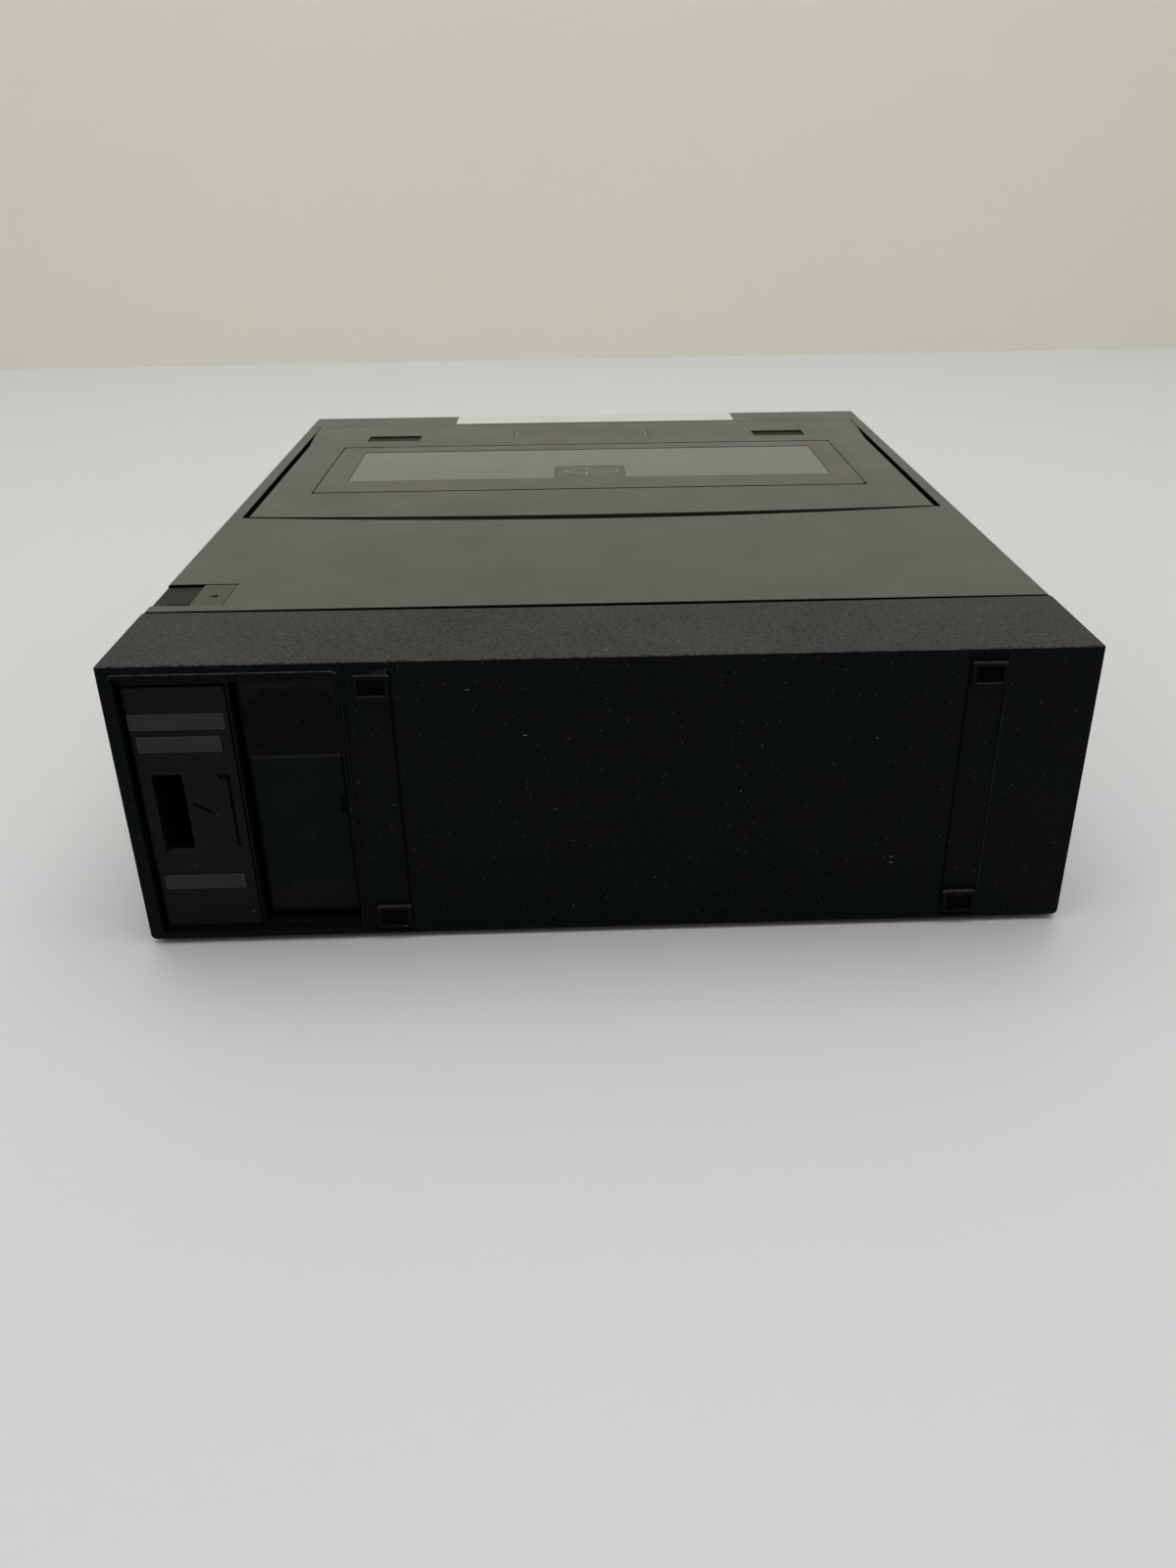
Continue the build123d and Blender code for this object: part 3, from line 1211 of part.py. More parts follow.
def deck_plate():
    plate = block(-DECK_SIDE, DECK_SIDE, DECK_REAR, DECK_FRONT, Z_UNDECK, Z_DECK)
    low, high = Z_UNDECK - CUT, Z_DECK + CUT
    plate -= block(-DECK_SIDE - CUT, BAY_END + BOARD_GAP, DECK_REAR - CUT, TRAY_END + BOARD_GAP,
                   low, high)
    for x, y in deck_boss_places():
        plate -= disc(x, y, low, high, SCREW_R + SCREW_PLAY)
    z_root = Z_DECK - BITE
    for side in (-1, 1):
        start, end = guide_path(side)
        plate -= slot_solid(start, end, GUIDE_SLOT, low, high)
        plate += disc(side * REEL_PITCH / 2, REEL_Y, z_root, Z_REEL + REEL_T + AXLE_UP, AXLE_R)
    plate -= disc(0, DRUM_Y, low, high, DRUM_HUB_R + DRUM_GAP)
    plate -= disc(CAPSTAN_X, CAPSTAN_Y, low, high, BEARING_R + DRUM_GAP)
    plate -= disc(0, CENTRE_Y, low, high, DRUM_SHAFT_R + RUN_CLEAR)
    x, y = pinch_pivot()
    plate += disc(x, y, z_root, Z_DECK + PINCH_POST, AXLE_R)
    # The cam gear's pin hangs below the deck.
    plate += disc(CAM_X, CAM_Y, Z_GEAR - 2 * CUT, Z_UNDECK + BITE, AXLE_R)
    plate -= disc(CAM_X, PINION_Y, low, high, 2 * MOTOR_SHAFT_R)
    # An ear carries the latch's pin.
    ear = KEEPER_X + LATCH_T / 2 + EAR_GAP
    plate += block(ear, ear + DECK_T, LATCH_Y - EAR_D, LATCH_Y + EAR_D / 2, z_root,
                   LATCH_Z + EAR_D / 2)
    return plate + rod_x(LATCH_Y, LATCH_Z, KEEPER_X - LATCH_T / 2 - BITE, ear + BITE, AXLE_R)


def deck_screws():
    screws = []
    for x, y in deck_boss_places():
        z_top = Z_DECK + SCREW_HEAD_H
        head = disc(x, y, Z_DECK, z_top, SCREW_HEAD_R)
        head -= cross_slot(x, y, z_top - SCREW_SLOT_DEEP, z_top + CUT)
        screws.append(head + disc(x, y, Z_UNDECK - SCREW_L + CUT, Z_DECK + BITE, SCREW_R))
    return screws


def lower_drum():
    z1 = Z_DECK + LOWER_DRUM_H
    z_hub = Z_UNDECK - DRUM_HUB_L
    drum = disc(0, DRUM_Y, Z_DECK, z1, DRUM_R)
    drum += disc(0, DRUM_Y, Z_DECK, Z_DECK + DRUM_FLANGE_T, DRUM_R + DRUM_FLANGE)
    drum += disc(0, DRUM_Y, z_hub, Z_DECK + CUT, DRUM_HUB_R)
    drum -= disc(0, DRUM_Y, z_hub - CUT, z1 + CUT, DRUM_SHAFT_R + RUN_CLEAR)
    # The helical step that guides the tape's lower edge.
    step = ring(0, 0, 0, 2 * DRUM_R, DRUM_R + CUT, DRUM_R - DRUM_STEP)
    tilted = Pos(0, DRUM_Y, Z_DECK + DRUM_STEP_UP) * Rot(DRUM_TILT, 0, 0) * step
    reach = 2 * DRUM_R
    return drum - (tilted & block(-reach, reach, DRUM_Y - reach, DRUM_Y + reach,
                                  Z_DECK + DRUM_FLANGE_T, z1 + CUT))


def upper_drum():
    z0 = Z_DECK + LOWER_DRUM_H + DRUM_GAP
    z1 = z0 + UPPER_DRUM_H
    drum = disc(0, DRUM_Y, z0, z1, DRUM_R)
    drum = chamfer(drum.edges().group_by(Axis.Z)[-1], DRUM_CHAMFER)
    drum += disc(0, DRUM_Y, z1 - BITE, z1 + ROTOR_H, ROTOR_R)
    drum += disc(0, DRUM_Y, Z_UNDECK - DRUM_HUB_L + CUT, z0 + CUT, DRUM_SHAFT_R)
    half = HEAD_NOTCH / 2
    notch = block(DRUM_R - half, DRUM_R + CUT, -half, half, z0 - CUT, z0 + HEAD_NOTCH_H)
    for i in range(HEAD_NOTCHES):
        drum -= turned(0, DRUM_Y, 360 / HEAD_NOTCHES * i, notch)
    for x, y in circle_places(0, DRUM_Y, DRUM_HOLE_RING, DRUM_HOLES, 180 / DRUM_HOLES):
        drum -= disc(x, y, z1 - DRUM_HOLE_DEEP, z1 + CUT, HOLE_R)
    return drum


def reel(x):
    """A reel table with its finned spindle."""
    z1 = Z_REEL + REEL_T
    table = disc(x, REEL_Y, Z_REEL, z1, REEL_R)
    table += disc(x, REEL_Y, z1 - BITE, z1 + SPINDLE_H, SPINDLE_R)
    table = fillet(table.edges().group_by(Axis.Z)[-1], SPINDLE_EDGE)
    fin = block(0, SPINDLE_R + FIN_OUT, -FIN_T / 2, FIN_T / 2, z1 - BITE,
                z1 + SPINDLE_H - FIN_DOWN)
    for i in range(FINS):
        table += turned(x, REEL_Y, 90 + 360 / FINS * i, fin)
    for hole_x, hole_y in circle_places(x, REEL_Y, REEL_HOLE_RING, REEL_HOLES):
        table -= disc(hole_x, hole_y, Z_REEL - CUT, z1 + CUT, HOLE_R)
    return table - disc(x, REEL_Y, Z_REEL - CUT, z1 + AXLE_UP + BITE, AXLE_R + RUN_CLEAR)


def capstan_motor():
    """Stator and bearing, hung under the deck."""
    x, y = CAPSTAN_X, CAPSTAN_Y
    z1 = Z_UNDECK
    housing = disc(x, y, z1 - MOTOR_PLATE_T, z1, 2 * BEARING_R)
    housing += disc(x, y, z1 - CUT, Z_DECK + BEARING_UP, BEARING_R)
    half = MOTOR_ARM_W / 2
    arm = block(0, FLYWHEEL_R + POST_OUT + 2, -half, half, z1 - MOTOR_PLATE_T, z1)
    for i in range(MOTOR_ARMS):
        housing += turned(x, y, 90 * i - 90, arm)
    posts = circle_places(x, y, FLYWHEEL_R + POST_OUT, 4, -90)
    for post_x, post_y in posts[:MOTOR_ARMS]:
        housing += disc(post_x, post_y, Z_STATOR, z1 - BITE, POST_R)
    housing += disc(x, y, Z_STATOR - STATOR_T, Z_STATOR, FLYWHEEL_R + STATOR_OUT)
    housing += ring(x, y, Z_STATOR - BITE, Z_STATOR + COIL_H, FLYWHEEL_R - COIL_IN, COIL_R)
    return housing - disc(x, y, Z_STATOR - STATOR_T - CUT, Z_DECK + BEARING_UP + CUT,
                          CAPSTAN_R + RUN_CLEAR)


def capstan_flywheel():
    x, y = CAPSTAN_X, CAPSTAN_Y
    wheel = disc(x, y, Z_BELT - FLYWHEEL_T, Z_BELT, FLYWHEEL_R)
    wheel += disc(x, y, Z_BELT - BITE, Z_BELT + PULLEY_T - PULLEY_EDGE, PULLEY_R)
    wheel += disc(x, y, Z_STATOR - CUT, Z_DECK + CAPSTAN_H, CAPSTAN_R)
    return chamfer(wheel.edges().group_by(Axis.Z)[-1], CAPSTAN_CHAMFER)


def centre_pulley():
    """A pulley below the deck and a friction wheel above it on one shaft."""
    y = CENTRE_Y
    z_pulley = Z_BELT + PULLEY_T - PULLEY_EDGE
    z_wheel = Z_REEL + REEL_T
    pulley = disc(0, y, Z_BELT, z_pulley, CENTRE_PULLEY_R)
    pulley += disc(0, y, Z_BELT, z_wheel, DRUM_SHAFT_R)
    pulley += disc(0, y, Z_REEL, z_wheel, DRIVE_R)
    pulley += disc(0, y, z_wheel - BITE, z_wheel + IDLER_PIN, AXLE_R)
    ring_r = (CENTRE_PULLEY_R + DRUM_SHAFT_R) / 2
    for hole_x, hole_y in circle_places(0, y, ring_r, PULLEY_HOLES, 180 / PULLEY_HOLES):
        pulley -= disc(hole_x, hole_y, Z_BELT - CUT, z_pulley + CUT, PULLEY_HOLE_R)
    return pulley


def reel_belt():
    """The belt from the capstan's pulley to the centre pulley."""
    def loop(grow):
        small = Pos(CAPSTAN_X, CAPSTAN_Y) * CenterArc((0, 0), PULLEY_R + grow, 0, 360)
        large = Pos(0, CENTRE_Y) * CenterArc((0, 0), CENTRE_PULLEY_R + grow, 0, 360)
        return extrude(make_hull([small, large]), amount=BELT_H)
    return Pos(0, 0, Z_BELT + CLEAR) * (loop(CLEAR + BELT_T) - loop(CLEAR))


def idler_arm():
    z0 = Z_REEL + REEL_T + CLEAR
    y = CENTRE_Y + IDLER_REACH
    arm = slot_solid((0, CENTRE_Y), (0, y), IDLER_ARM_W, z0, z0 + SHEET)
    arm += disc(0, y, Z_REEL, z0 + BITE, AXLE_R)
    return arm - disc(0, CENTRE_Y, z0 - CUT, z0 + SHEET + CUT, AXLE_R + RUN_CLEAR)


def idler_wheel():
    y = CENTRE_Y + IDLER_REACH
    z1 = Z_REEL + REEL_T
    wheel = ring(0, y, Z_REEL, z1, IDLER_R, AXLE_R + RUN_CLEAR)
    ring_r = (IDLER_R + AXLE_R) / 2
    for hole_x, hole_y in circle_places(0, y, ring_r, IDLER_HOLES):
        wheel -= disc(hole_x, hole_y, Z_REEL - CUT, z1 + CUT, IDLER_HOLE_R)
    return wheel


def pinch_pivot():
    """Pivot of the pinch arm, placed so that the swung roller meets the capstan."""
    contact = CAPSTAN_R + ROLLER_R + CLEAR
    lean, arm = radians(PINCH_LEAN), radians(PINCH_AT)
    return (CAPSTAN_X + contact * cos(lean) - PINCH_ARM * cos(arm),
            CAPSTAN_Y + contact * sin(lean) - PINCH_ARM * sin(arm))


def roller_rest():
    """The pinch roller's axis with the arm swung back."""
    x, y = pinch_pivot()
    angle = radians(PINCH_AT + PINCH_SWING)
    return x + PINCH_ARM * cos(angle), y + PINCH_ARM * sin(angle)


def pinch_arm():
    pivot, tip = pinch_pivot(), roller_rest()
    z0 = Z_DECK + CLEAR
    z_arm = z0 + PINCH_LIFT
    arm = slot_solid(pivot, tip, PINCH_ARM_W, z_arm, z_arm + PINCH_ARM_T)
    arm += disc(*pivot, z0, z0 + PINCH_HUB_H, PINCH_ARM_W / 2)
    arm += disc(*tip, z_arm, z0 + ROLLER_LIFT + ROLLER_H + ROLLER_PIN, AXLE_R)
    return arm - disc(*pivot, z0 - CUT, z0 + PINCH_HUB_H + CUT, AXLE_R + RUN_CLEAR)


def pinch_roller():
    x, y = roller_rest()
    z0 = Z_DECK + CLEAR + ROLLER_LIFT
    return ring(x, y, z0, z0 + ROLLER_H, ROLLER_R, AXLE_R + RUN_CLEAR)


def guide(side):
    """A loading guide: base, roller post and the shoe under the deck."""
    start, end = guide_path(side)
    x, y = start
    half = GUIDE_BASE / 2
    z0 = Z_DECK + CLEAR
    z_base, z_top = z0 + GUIDE_BASE_T, z0 + GUIDE_H
    shape = turned(x, y, direction(start, end), block(-half, half, -half, half, z0, z_base))
    z_shoe = Z_UNDECK - GUIDE_SHOE_DOWN
    shape += disc(x, y, z_shoe - BITE, z0 + BITE, GUIDE_SLOT / 2 - CLEAR)
    shape += disc(x, y, z_shoe - GUIDE_SHOE_T, z_shoe, GUIDE_SLOT / 2 + GUIDE_SHOE_OUT)
    shape += disc(x, y, z_base - BITE, z_top, GUIDE_R)
    for z in (z_base, z_top - GUIDE_FLANGE_T):
        shape += disc(x, y, z, z + GUIDE_FLANGE_T, GUIDE_R + GUIDE_FLANGE)
    return shape


def erase_head():
    x = -GUIDE_X - ERASE_OUT
    y = Y_TAPE - ERASE_BACK
    z1 = Z_DECK + HEAD_H
    half_w, half_d = ERASE_W / 2, ERASE_D / 2
    head = block(x - half_w, x + half_w, y - half_d, y + half_d, Z_DECK, z1)
    head -= block(x - half_w - CUT, x + half_w + CUT, y - half_d - CUT, y - half_d + ERASE_CUT,
                  z1 - TAPE_W - ERASE_CHEEK, z1 - ERASE_CHEEK)
    return fillet(head.edges().group_by(Axis.Z)[-1], HEAD_EDGE)


def control_head():
    x = CAPSTAN_X - CONTROL_SIDE
    y = Y_TAPE - CONTROL_BACK
    half_w, half_d = CONTROL_W / 2, CONTROL_D / 2
    z_base = Z_DECK + CONTROL_BASE_T
    base_w, base_d = half_w + CUT, half_d + CUT
    head = block(x - half_w, x + half_w, y - half_d, y + half_d, Z_DECK, Z_DECK + HEAD_H)
    return head + block(x - base_w, x + base_w, y - base_d, y + base_d, Z_DECK, z_base)


def gear_profile(teeth, shift):
    """Straight-sided teeth with backlash on the pitch circle."""
    pitch_r = GEAR_MODULE * teeth / 2
    tip_r = pitch_r + GEAR_ADDENDUM * GEAR_MODULE
    root_r = pitch_r - GEAR_DEDENDUM * GEAR_MODULE
    step = 2 * pi / teeth
    half_pitch = step / 4 - BACKLASH / pitch_r
    half_root = half_pitch + TOOTH_LEAN * (pitch_r - root_r) / pitch_r
    half_tip = half_pitch - TOOTH_LEAN * (tip_r - pitch_r) / pitch_r
    corners = ((root_r, -half_root), (tip_r, -half_tip), (tip_r, half_tip), (root_r, half_root))
    points = []
    for i in range(teeth):
        middle = step * i + shift
        for radius, offset in corners:
            points.append((radius * cos(middle + offset), radius * sin(middle + offset)))
    return make_face(Polyline(*points, close=True))


def cam_gear():
    teeth = extrude(gear_profile(GEAR_TEETH, pi / 2), amount=GEAR_T)
    gear = Pos(CAM_X, CAM_Y, Z_GEAR) * teeth
    z_hub = Z_UNDECK - CAM_HUB_DOWN
    gear += disc(CAM_X, CAM_Y, Z_GEAR + GEAR_T - BITE, z_hub, CAM_HUB_R)
    # The cam track is a groove in the lower face.
    gear -= ring(CAM_X, CAM_Y, Z_GEAR - CUT, Z_GEAR + TRACK_DEEP, TRACK_R + TRACK_W, TRACK_R)
    return gear - disc(CAM_X, CAM_Y, Z_GEAR - CUT, z_hub + CUT, AXLE_R + RUN_CLEAR)


def motor_pinion():
    shift = -pi / 2 + pi / PINION_TEETH
    teeth = extrude(gear_profile(PINION_TEETH, shift), amount=GEAR_T)
    shaft = disc(CAM_X, PINION_Y, Z_GEAR - PINION_SHAFT, Z_GEAR + GEAR_T + BITE, MOTOR_SHAFT_R)
    return Pos(CAM_X, PINION_Y, Z_GEAR) * teeth + shaft


def loading_motor():
    x, y = CAM_X, PINION_Y
    z1 = Z_GEAR - CUT
    z0 = z1 - MOTOR_H
    body = disc(x, y, z0, z1, MOTOR_R)
    body -= disc(x, y, z1 - PINION_SHAFT - CUT, z1 + CUT, MOTOR_SHAFT_R + RUN_CLEAR)
    # A strap carries it from the deck.
    half = STRAP_W / 2
    inner, outer = MOTOR_R + STRAP_GAP, MOTOR_R + STRAP_GAP + STRAP_T
    body += block(x - outer, x + outer, y - half, y + half, z0 - STRAP_T, z0 + BITE)
    for side in (-1, 1):
        body += block(x + side * inner, x + side * outer, y - half, y + half,
                      z0 - STRAP_T, Z_UNDECK)
    return body


# ---- Boards ----

def board_boss_places():
    """Bosses under the main and power boards, in the bottom case."""
    half = BOSS_SIDE / 2
    rear = Y_COVER + BOSS_REAR
    return [(-half, Y_SEAM - BOSS_FRONT), (half, Y_SEAM - 2 * BOSS_FRONT),
            (BOSS_MIDDLE, DECK_REAR + BOSS_DECK), (-BOSS_LEFT, rear), (BOSS_SIDE, rear)]


def cap_boss_places():
    return [(-BOSS_LEFT, TRAY_Y + BOSS_CAP), (BOSS_SIDE, TRAY_Y + BOSS_CAP)]


def chips(spots, x, y):
    """Flat packages on a board; each is offset from x, y and has a width and depth."""
    return [block(x + dx - w / 2, x + dx + w / 2, y + dy - d / 2, y + dy + d / 2,
                  Z_BOARD_TOP - HAIR, Z_BOARD_TOP + CHIP_H) for dx, dy, w, d in spots]


def main_board():
    board = block(BOARD_X, DECK_SIDE, DECK_REAR + BOARD_GAP / 2, Y_SEAM - 2 * BOARD_GAP,
                  Z_BOARD, Z_BOARD_TOP)
    for x, y in deck_boss_places():
        board -= disc(x, y, Z_BOARD - CUT, Z_BOARD_TOP + CUT, DECK_BOSS_R + 2 * CLEAR)
    for chip in chips(MAIN_CHIPS, 0, DECK_REAR):
        board += chip
    return board


def power_board():
    board = block(BOARD_X, DECK_SIDE, POWER_REAR, POWER_FRONT, Z_BOARD, Z_BOARD_TOP)
    z0 = Z_BOARD_TOP - HAIR
    for i in range(CAPACITORS):
        board += disc(BOARD_X + CAPACITOR_IN + CAPACITOR_PITCH * i, POWER_FRONT - 2 * CAPACITOR_R,
                      z0, Z_BOARD_TOP + CAPACITOR_H, CAPACITOR_R)
    y0 = POWER_REAR + 2 * BOARD_GAP
    board += block(-COIL_W / 2, COIL_W / 2, y0, y0 + COIL_D, z0, Z_BOARD_TOP + COIL_TALL)
    for chip in chips(POWER_CHIPS, 0, POWER_REAR):
        board += chip
    return board


def heat_sink():
    x1 = DECK_SIDE - BOARD_GAP / 2
    x0 = x1 - SINK_W
    y1 = POWER_FRONT - SINK_BACK
    y0 = y1 - SINK_L
    z0, z1 = Z_BOARD_TOP, Z_BOARD_TOP + SINK_H
    sink = block(x0, x0 + SINK_BASE, y0, y1, z0, z1)
    for i in range(SINK_FINS):
        y = y0 + SINK_PITCH * i
        sink += block(x0 + CUT, x1, y, y + SINK_T, z0, z1)
    return sink


def front_board():
    x0, x1 = -X_IN + FRONT_BOARD_IN, key_places()[0] + KEY_W / 2 + 2 * BOARD_GAP
    board = block(x0, x1, FRONT_BOARD_Y, FRONT_BOARD_FACE,
                  Z_FLOOR + FRONT_BOARD_IN, Z_CEILING - FRONT_BOARD_IN)
    y0 = FRONT_BOARD_FACE - HAIR
    for x in key_places():
        board += block(x - TACT, x + TACT, y0, FRONT_BOARD_FACE + TACT_DEEP,
                       Z_KEY - TACT, Z_KEY + TACT)
    board += block(SWITCH_X - SWITCH_W, SWITCH_X + SWITCH_W, y0, FRONT_BOARD_FACE + SWITCH_DEEP,
                   Z_LOWER_ROW - TACT, Z_LOWER_ROW + TACT)
    return board + rod_y(KNOB_X, Z_KEY, y0, FRONT_BOARD_FACE + POT_DEEP, POT_R)


# ---- Front controls ----

def flange(x, z, half_w, half_h):
    """The plate behind the panel that keeps a control in."""
    y1 = Y_PANEL_IN - CLEAR
    return block(x - half_w, x + half_w, y1 - FLANGE_T, y1, z - half_h, z + half_h)


def key(x):
    """A front key with a retaining flange and a stem."""
    half_w, half_h = KEY_W / 2, KEY_H / 2
    cap = block(x - half_w, x + half_w, Y_PANEL_IN - FLANGE_T - CLEAR, Y_FRONT + KEY_PROUD,
                Z_KEY - half_h, Z_KEY + half_h)
    cap = fillet(cap.faces().sort_by(Axis.Y)[-1].edges(), KEY_EDGE)
    cap += flange(x, Z_KEY, half_w + KEY_FLANGE_SIDE, half_h + KEY_FLANGE)
    stem_end = FRONT_BOARD_FACE + TACT_DEEP + KEY_TRAVEL + CLEAR
    half = KEY_STEM / 2
    return cap + block(x - half, x + half, stem_end, Y_PANEL_IN - CUT,
                       Z_KEY - half, Z_KEY + half)


def power_switch():
    x = SWITCH_X - SWITCH_TRAVEL / 2
    half_w, half_h = SWITCH_W / 2, SWITCH_H / 2
    face = Y_FRONT - BUTTON_LOW
    knob = block(x - half_w, x + half_w, Y_PANEL_IN - CUT, face,
                 Z_LOWER_ROW - half_h, Z_LOWER_ROW + half_h)
    row = GRIP_PITCH * (GROOVE_COUNT - 1)
    for i in range(GROOVE_COUNT):
        groove_x = x - row / 2 + GRIP_PITCH * i
        knob -= block(groove_x - GRIP_GROOVE / 2, groove_x + GRIP_GROOVE / 2,
                      face - GRIP_GROOVE, Y_FRONT,
                      Z_LOWER_ROW - half_h - CUT, Z_LOWER_ROW + half_h + CUT)
    knob += flange(x, Z_LOWER_ROW, half_w + SWITCH_FLANGE, half_h + 2 * CUT)
    half = SWITCH_STEM / 2
    stem_end = FRONT_BOARD_FACE + SWITCH_DEEP + CLEAR
    return knob + block(x - half, x + half, stem_end, Y_PANEL_IN - CUT,
                        Z_LOWER_ROW - half, Z_LOWER_ROW + half)


def tracking_knob():
    back = Y_PANEL_IN - KNOB_BACK
    knob = rod_y(KNOB_X, Z_KEY, back, Y_FRONT + KEY_PROUD, KNOB_R)
    knob = chamfer(knob.edges().group_by(Axis.Y)[-1], KEY_EDGE)
    half = GRIP_GROOVE / 2
    knob -= block(KNOB_X - half, KNOB_X + half, Y_FRONT, Y_FRONT + KEY_PROUD + CUT,
                  Z_KEY + CUT, Z_KEY + KNOB_R - BITE)
    return knob + rod_y(KNOB_X, Z_KEY, FRONT_BOARD_FACE + POT_DEEP + CLEAR, back + BITE,
                        KNOB_SHAFT_R)


def display_window():
    half_w, half_h = DISPLAY_W / 2, DISPLAY_H / 2
    pane = block(DISPLAY_X - half_w, DISPLAY_X + half_w, Y_PANEL_IN, Y_FRONT - BUTTON_LOW,
                 Z_LOWER_ROW - half_h, Z_LOWER_ROW + half_h)
    rim_w, rim_h = half_w + DISPLAY_RIM, half_h + DISPLAY_RIM
    return pane + block(DISPLAY_X - rim_w, DISPLAY_X + rim_w, Y_PANEL_IN - FLANGE_T, Y_PANEL_IN,
                        Z_LOWER_ROW - rim_h, Z_LOWER_ROW + rim_h)


def camera_socket():
    face = Y_FRONT - BUTTON_LOW
    back = Y_FRONT - SOCKET_L
    floor = face - SOCKET_DEEP
    socket = rod_y(SOCKET_X, Z_KEY, back, face, SOCKET_R)
    socket -= rod_y(SOCKET_X, Z_KEY, floor, face + CUT, SOCKET_BORE_R)
    collar = rod_y(SOCKET_X, Z_KEY, back, Y_PANEL_IN, SOCKET_R + SOCKET_COLLAR)
    socket += collar - rod_y(SOCKET_X, Z_KEY, back - CUT, Y_FRONT, SOCKET_R - BITE)
    for x, z in circle_places(SOCKET_X, Z_KEY, SOCKET_PIN_RING, SOCKET_PINS):
        socket += rod_y(x, z, floor - BITE, floor + SOCKET_PIN_L, SOCKET_PIN_R)
    return socket


def av_jacks():
    jacks = []
    for x in jack_places():
        jack = rod_y(x, Z_LOWER_ROW, JACK_BACK - JACK_REAR, Y_FRONT - CUT, JACK_R)
        jack -= rod_y(x, Z_LOWER_ROW, JACK_BACK, Y_FRONT, JACK_BORE_R)
        jacks.append(jack)
    return jacks


def blank_label():
    y = (Y_SEAM + Y_FRONT) / 2 + LABEL_OFF
    half_w, half_d = LABEL_W / 2, LABEL_D / 2
    return block(LABEL_X - half_w, LABEL_X + half_w, y - half_d, y + half_d,
                 Z_TOP, Z_TOP + LABEL_T)


def write(node, shape):
    """Write one sub-part; a list is a group of alike solids."""
    if isinstance(shape, list):
        shape = Compound(children=shape)
    export_step(shape, "parts/" + node + ".step")


PARTS = {
    "bottom_case": bottom_case,
    "top_cover": top_cover,
    "rear_cap": rear_cap,
    "front_panel": front_panel,
    "rubber_feet": rubber_feet,
    "case_screws": case_screws,
    "connector_door": connector_door,
    "jack_panel": jack_panel,
    "adaptor_socket": adaptor_socket,
    "rf_modulator": rf_modulator,
    "battery_tray": battery_tray,
    "battery_pack": battery_pack,
    "battery_contacts": battery_contacts,
    "battery_slider": battery_slider,
    "cassette_lid": cassette_lid,
    "window_bezel": window_bezel,
    "window_pane": window_pane,
    "lid_badge": lid_badge,
    "lid_pins": lid_pins,
    "cassette_basket": cassette_basket,
    "lid_latch": lid_latch,
    "deck_plate": deck_plate,
    "deck_screws": deck_screws,
    "lower_drum": lower_drum,
    "upper_drum": upper_drum,
    "supply_reel": lambda: reel(-REEL_PITCH / 2),
    "takeup_reel": lambda: reel(REEL_PITCH / 2),
    "capstan_motor": capstan_motor,
    "capstan_flywheel": capstan_flywheel,
    "centre_pulley": centre_pulley,
    "reel_belt": reel_belt,
    "idler_arm": idler_arm,
    "idler_wheel": idler_wheel,
    "pinch_arm": pinch_arm,
    "pinch_roller": pinch_roller,
    "supply_guide": lambda: guide(-1),
    "takeup_guide": lambda: guide(1),
    "erase_head": erase_head,
    "control_head": control_head,
    "cam_gear": cam_gear,
    "motor_pinion": motor_pinion,
    "loading_motor": loading_motor,
    "main_board": main_board,
    "power_board": power_board,
    "heat_sink": heat_sink,
    "front_board": front_board,
    "power_switch": power_switch,
    "tracking_knob": tracking_knob,
    "display_window": display_window,
    "camera_socket": camera_socket,
    "av_jacks": av_jacks,
    "blank_label": blank_label,
}

os.makedirs("parts", exist_ok=True)
for node, make in PARTS.items():
    write(node, make())
for name, x in zip(KEY_NAMES, key_places()):
    write(name + "_key", key(x))
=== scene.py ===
import json
import math

import bmesh
import bpy
from mathutils import Matrix, Vector
from mathutils import noise as field


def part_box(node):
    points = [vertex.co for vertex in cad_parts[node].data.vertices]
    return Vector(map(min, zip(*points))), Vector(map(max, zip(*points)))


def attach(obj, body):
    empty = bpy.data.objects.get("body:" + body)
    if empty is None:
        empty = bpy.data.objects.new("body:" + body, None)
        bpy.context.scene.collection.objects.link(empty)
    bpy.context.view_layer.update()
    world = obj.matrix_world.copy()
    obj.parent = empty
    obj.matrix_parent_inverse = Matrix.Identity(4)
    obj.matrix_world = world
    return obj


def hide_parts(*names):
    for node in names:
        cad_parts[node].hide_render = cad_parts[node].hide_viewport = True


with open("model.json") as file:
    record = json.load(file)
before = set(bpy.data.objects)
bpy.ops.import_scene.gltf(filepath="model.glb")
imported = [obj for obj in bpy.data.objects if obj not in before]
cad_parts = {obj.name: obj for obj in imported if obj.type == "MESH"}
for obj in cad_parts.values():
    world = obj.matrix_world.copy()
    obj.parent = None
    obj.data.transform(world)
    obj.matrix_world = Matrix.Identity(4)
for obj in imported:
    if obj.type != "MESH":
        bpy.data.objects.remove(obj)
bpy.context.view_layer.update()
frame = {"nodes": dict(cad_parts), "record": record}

MM = 0.001
BLACK = (0.004, 0.0045, 0.005)
PRINT_PALE = (0.30, 0.30, 0.27)
DUST = (0.30, 0.30, 0.27)
LEDGE_Z = 51.9 * MM     # ledge across the battery's film
MARGIN_Z = 69.5 * MM    # pale margin along the film's top
FOOT_Z = 15.0 * MM      # and along its foot
FOOT_RISE = 1.5 * MM    # ragged band in which that margin fades
LEDGE = 0.30            # film below the ledge stands out, in millimetres
FILM_SEAM_Z = 23.7      # weld across the film, in millimetres
SEAM_HALF = 0.3         # its half width
FILM_LEFT, FILM_RIGHT = (corner.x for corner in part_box("battery_pack"))


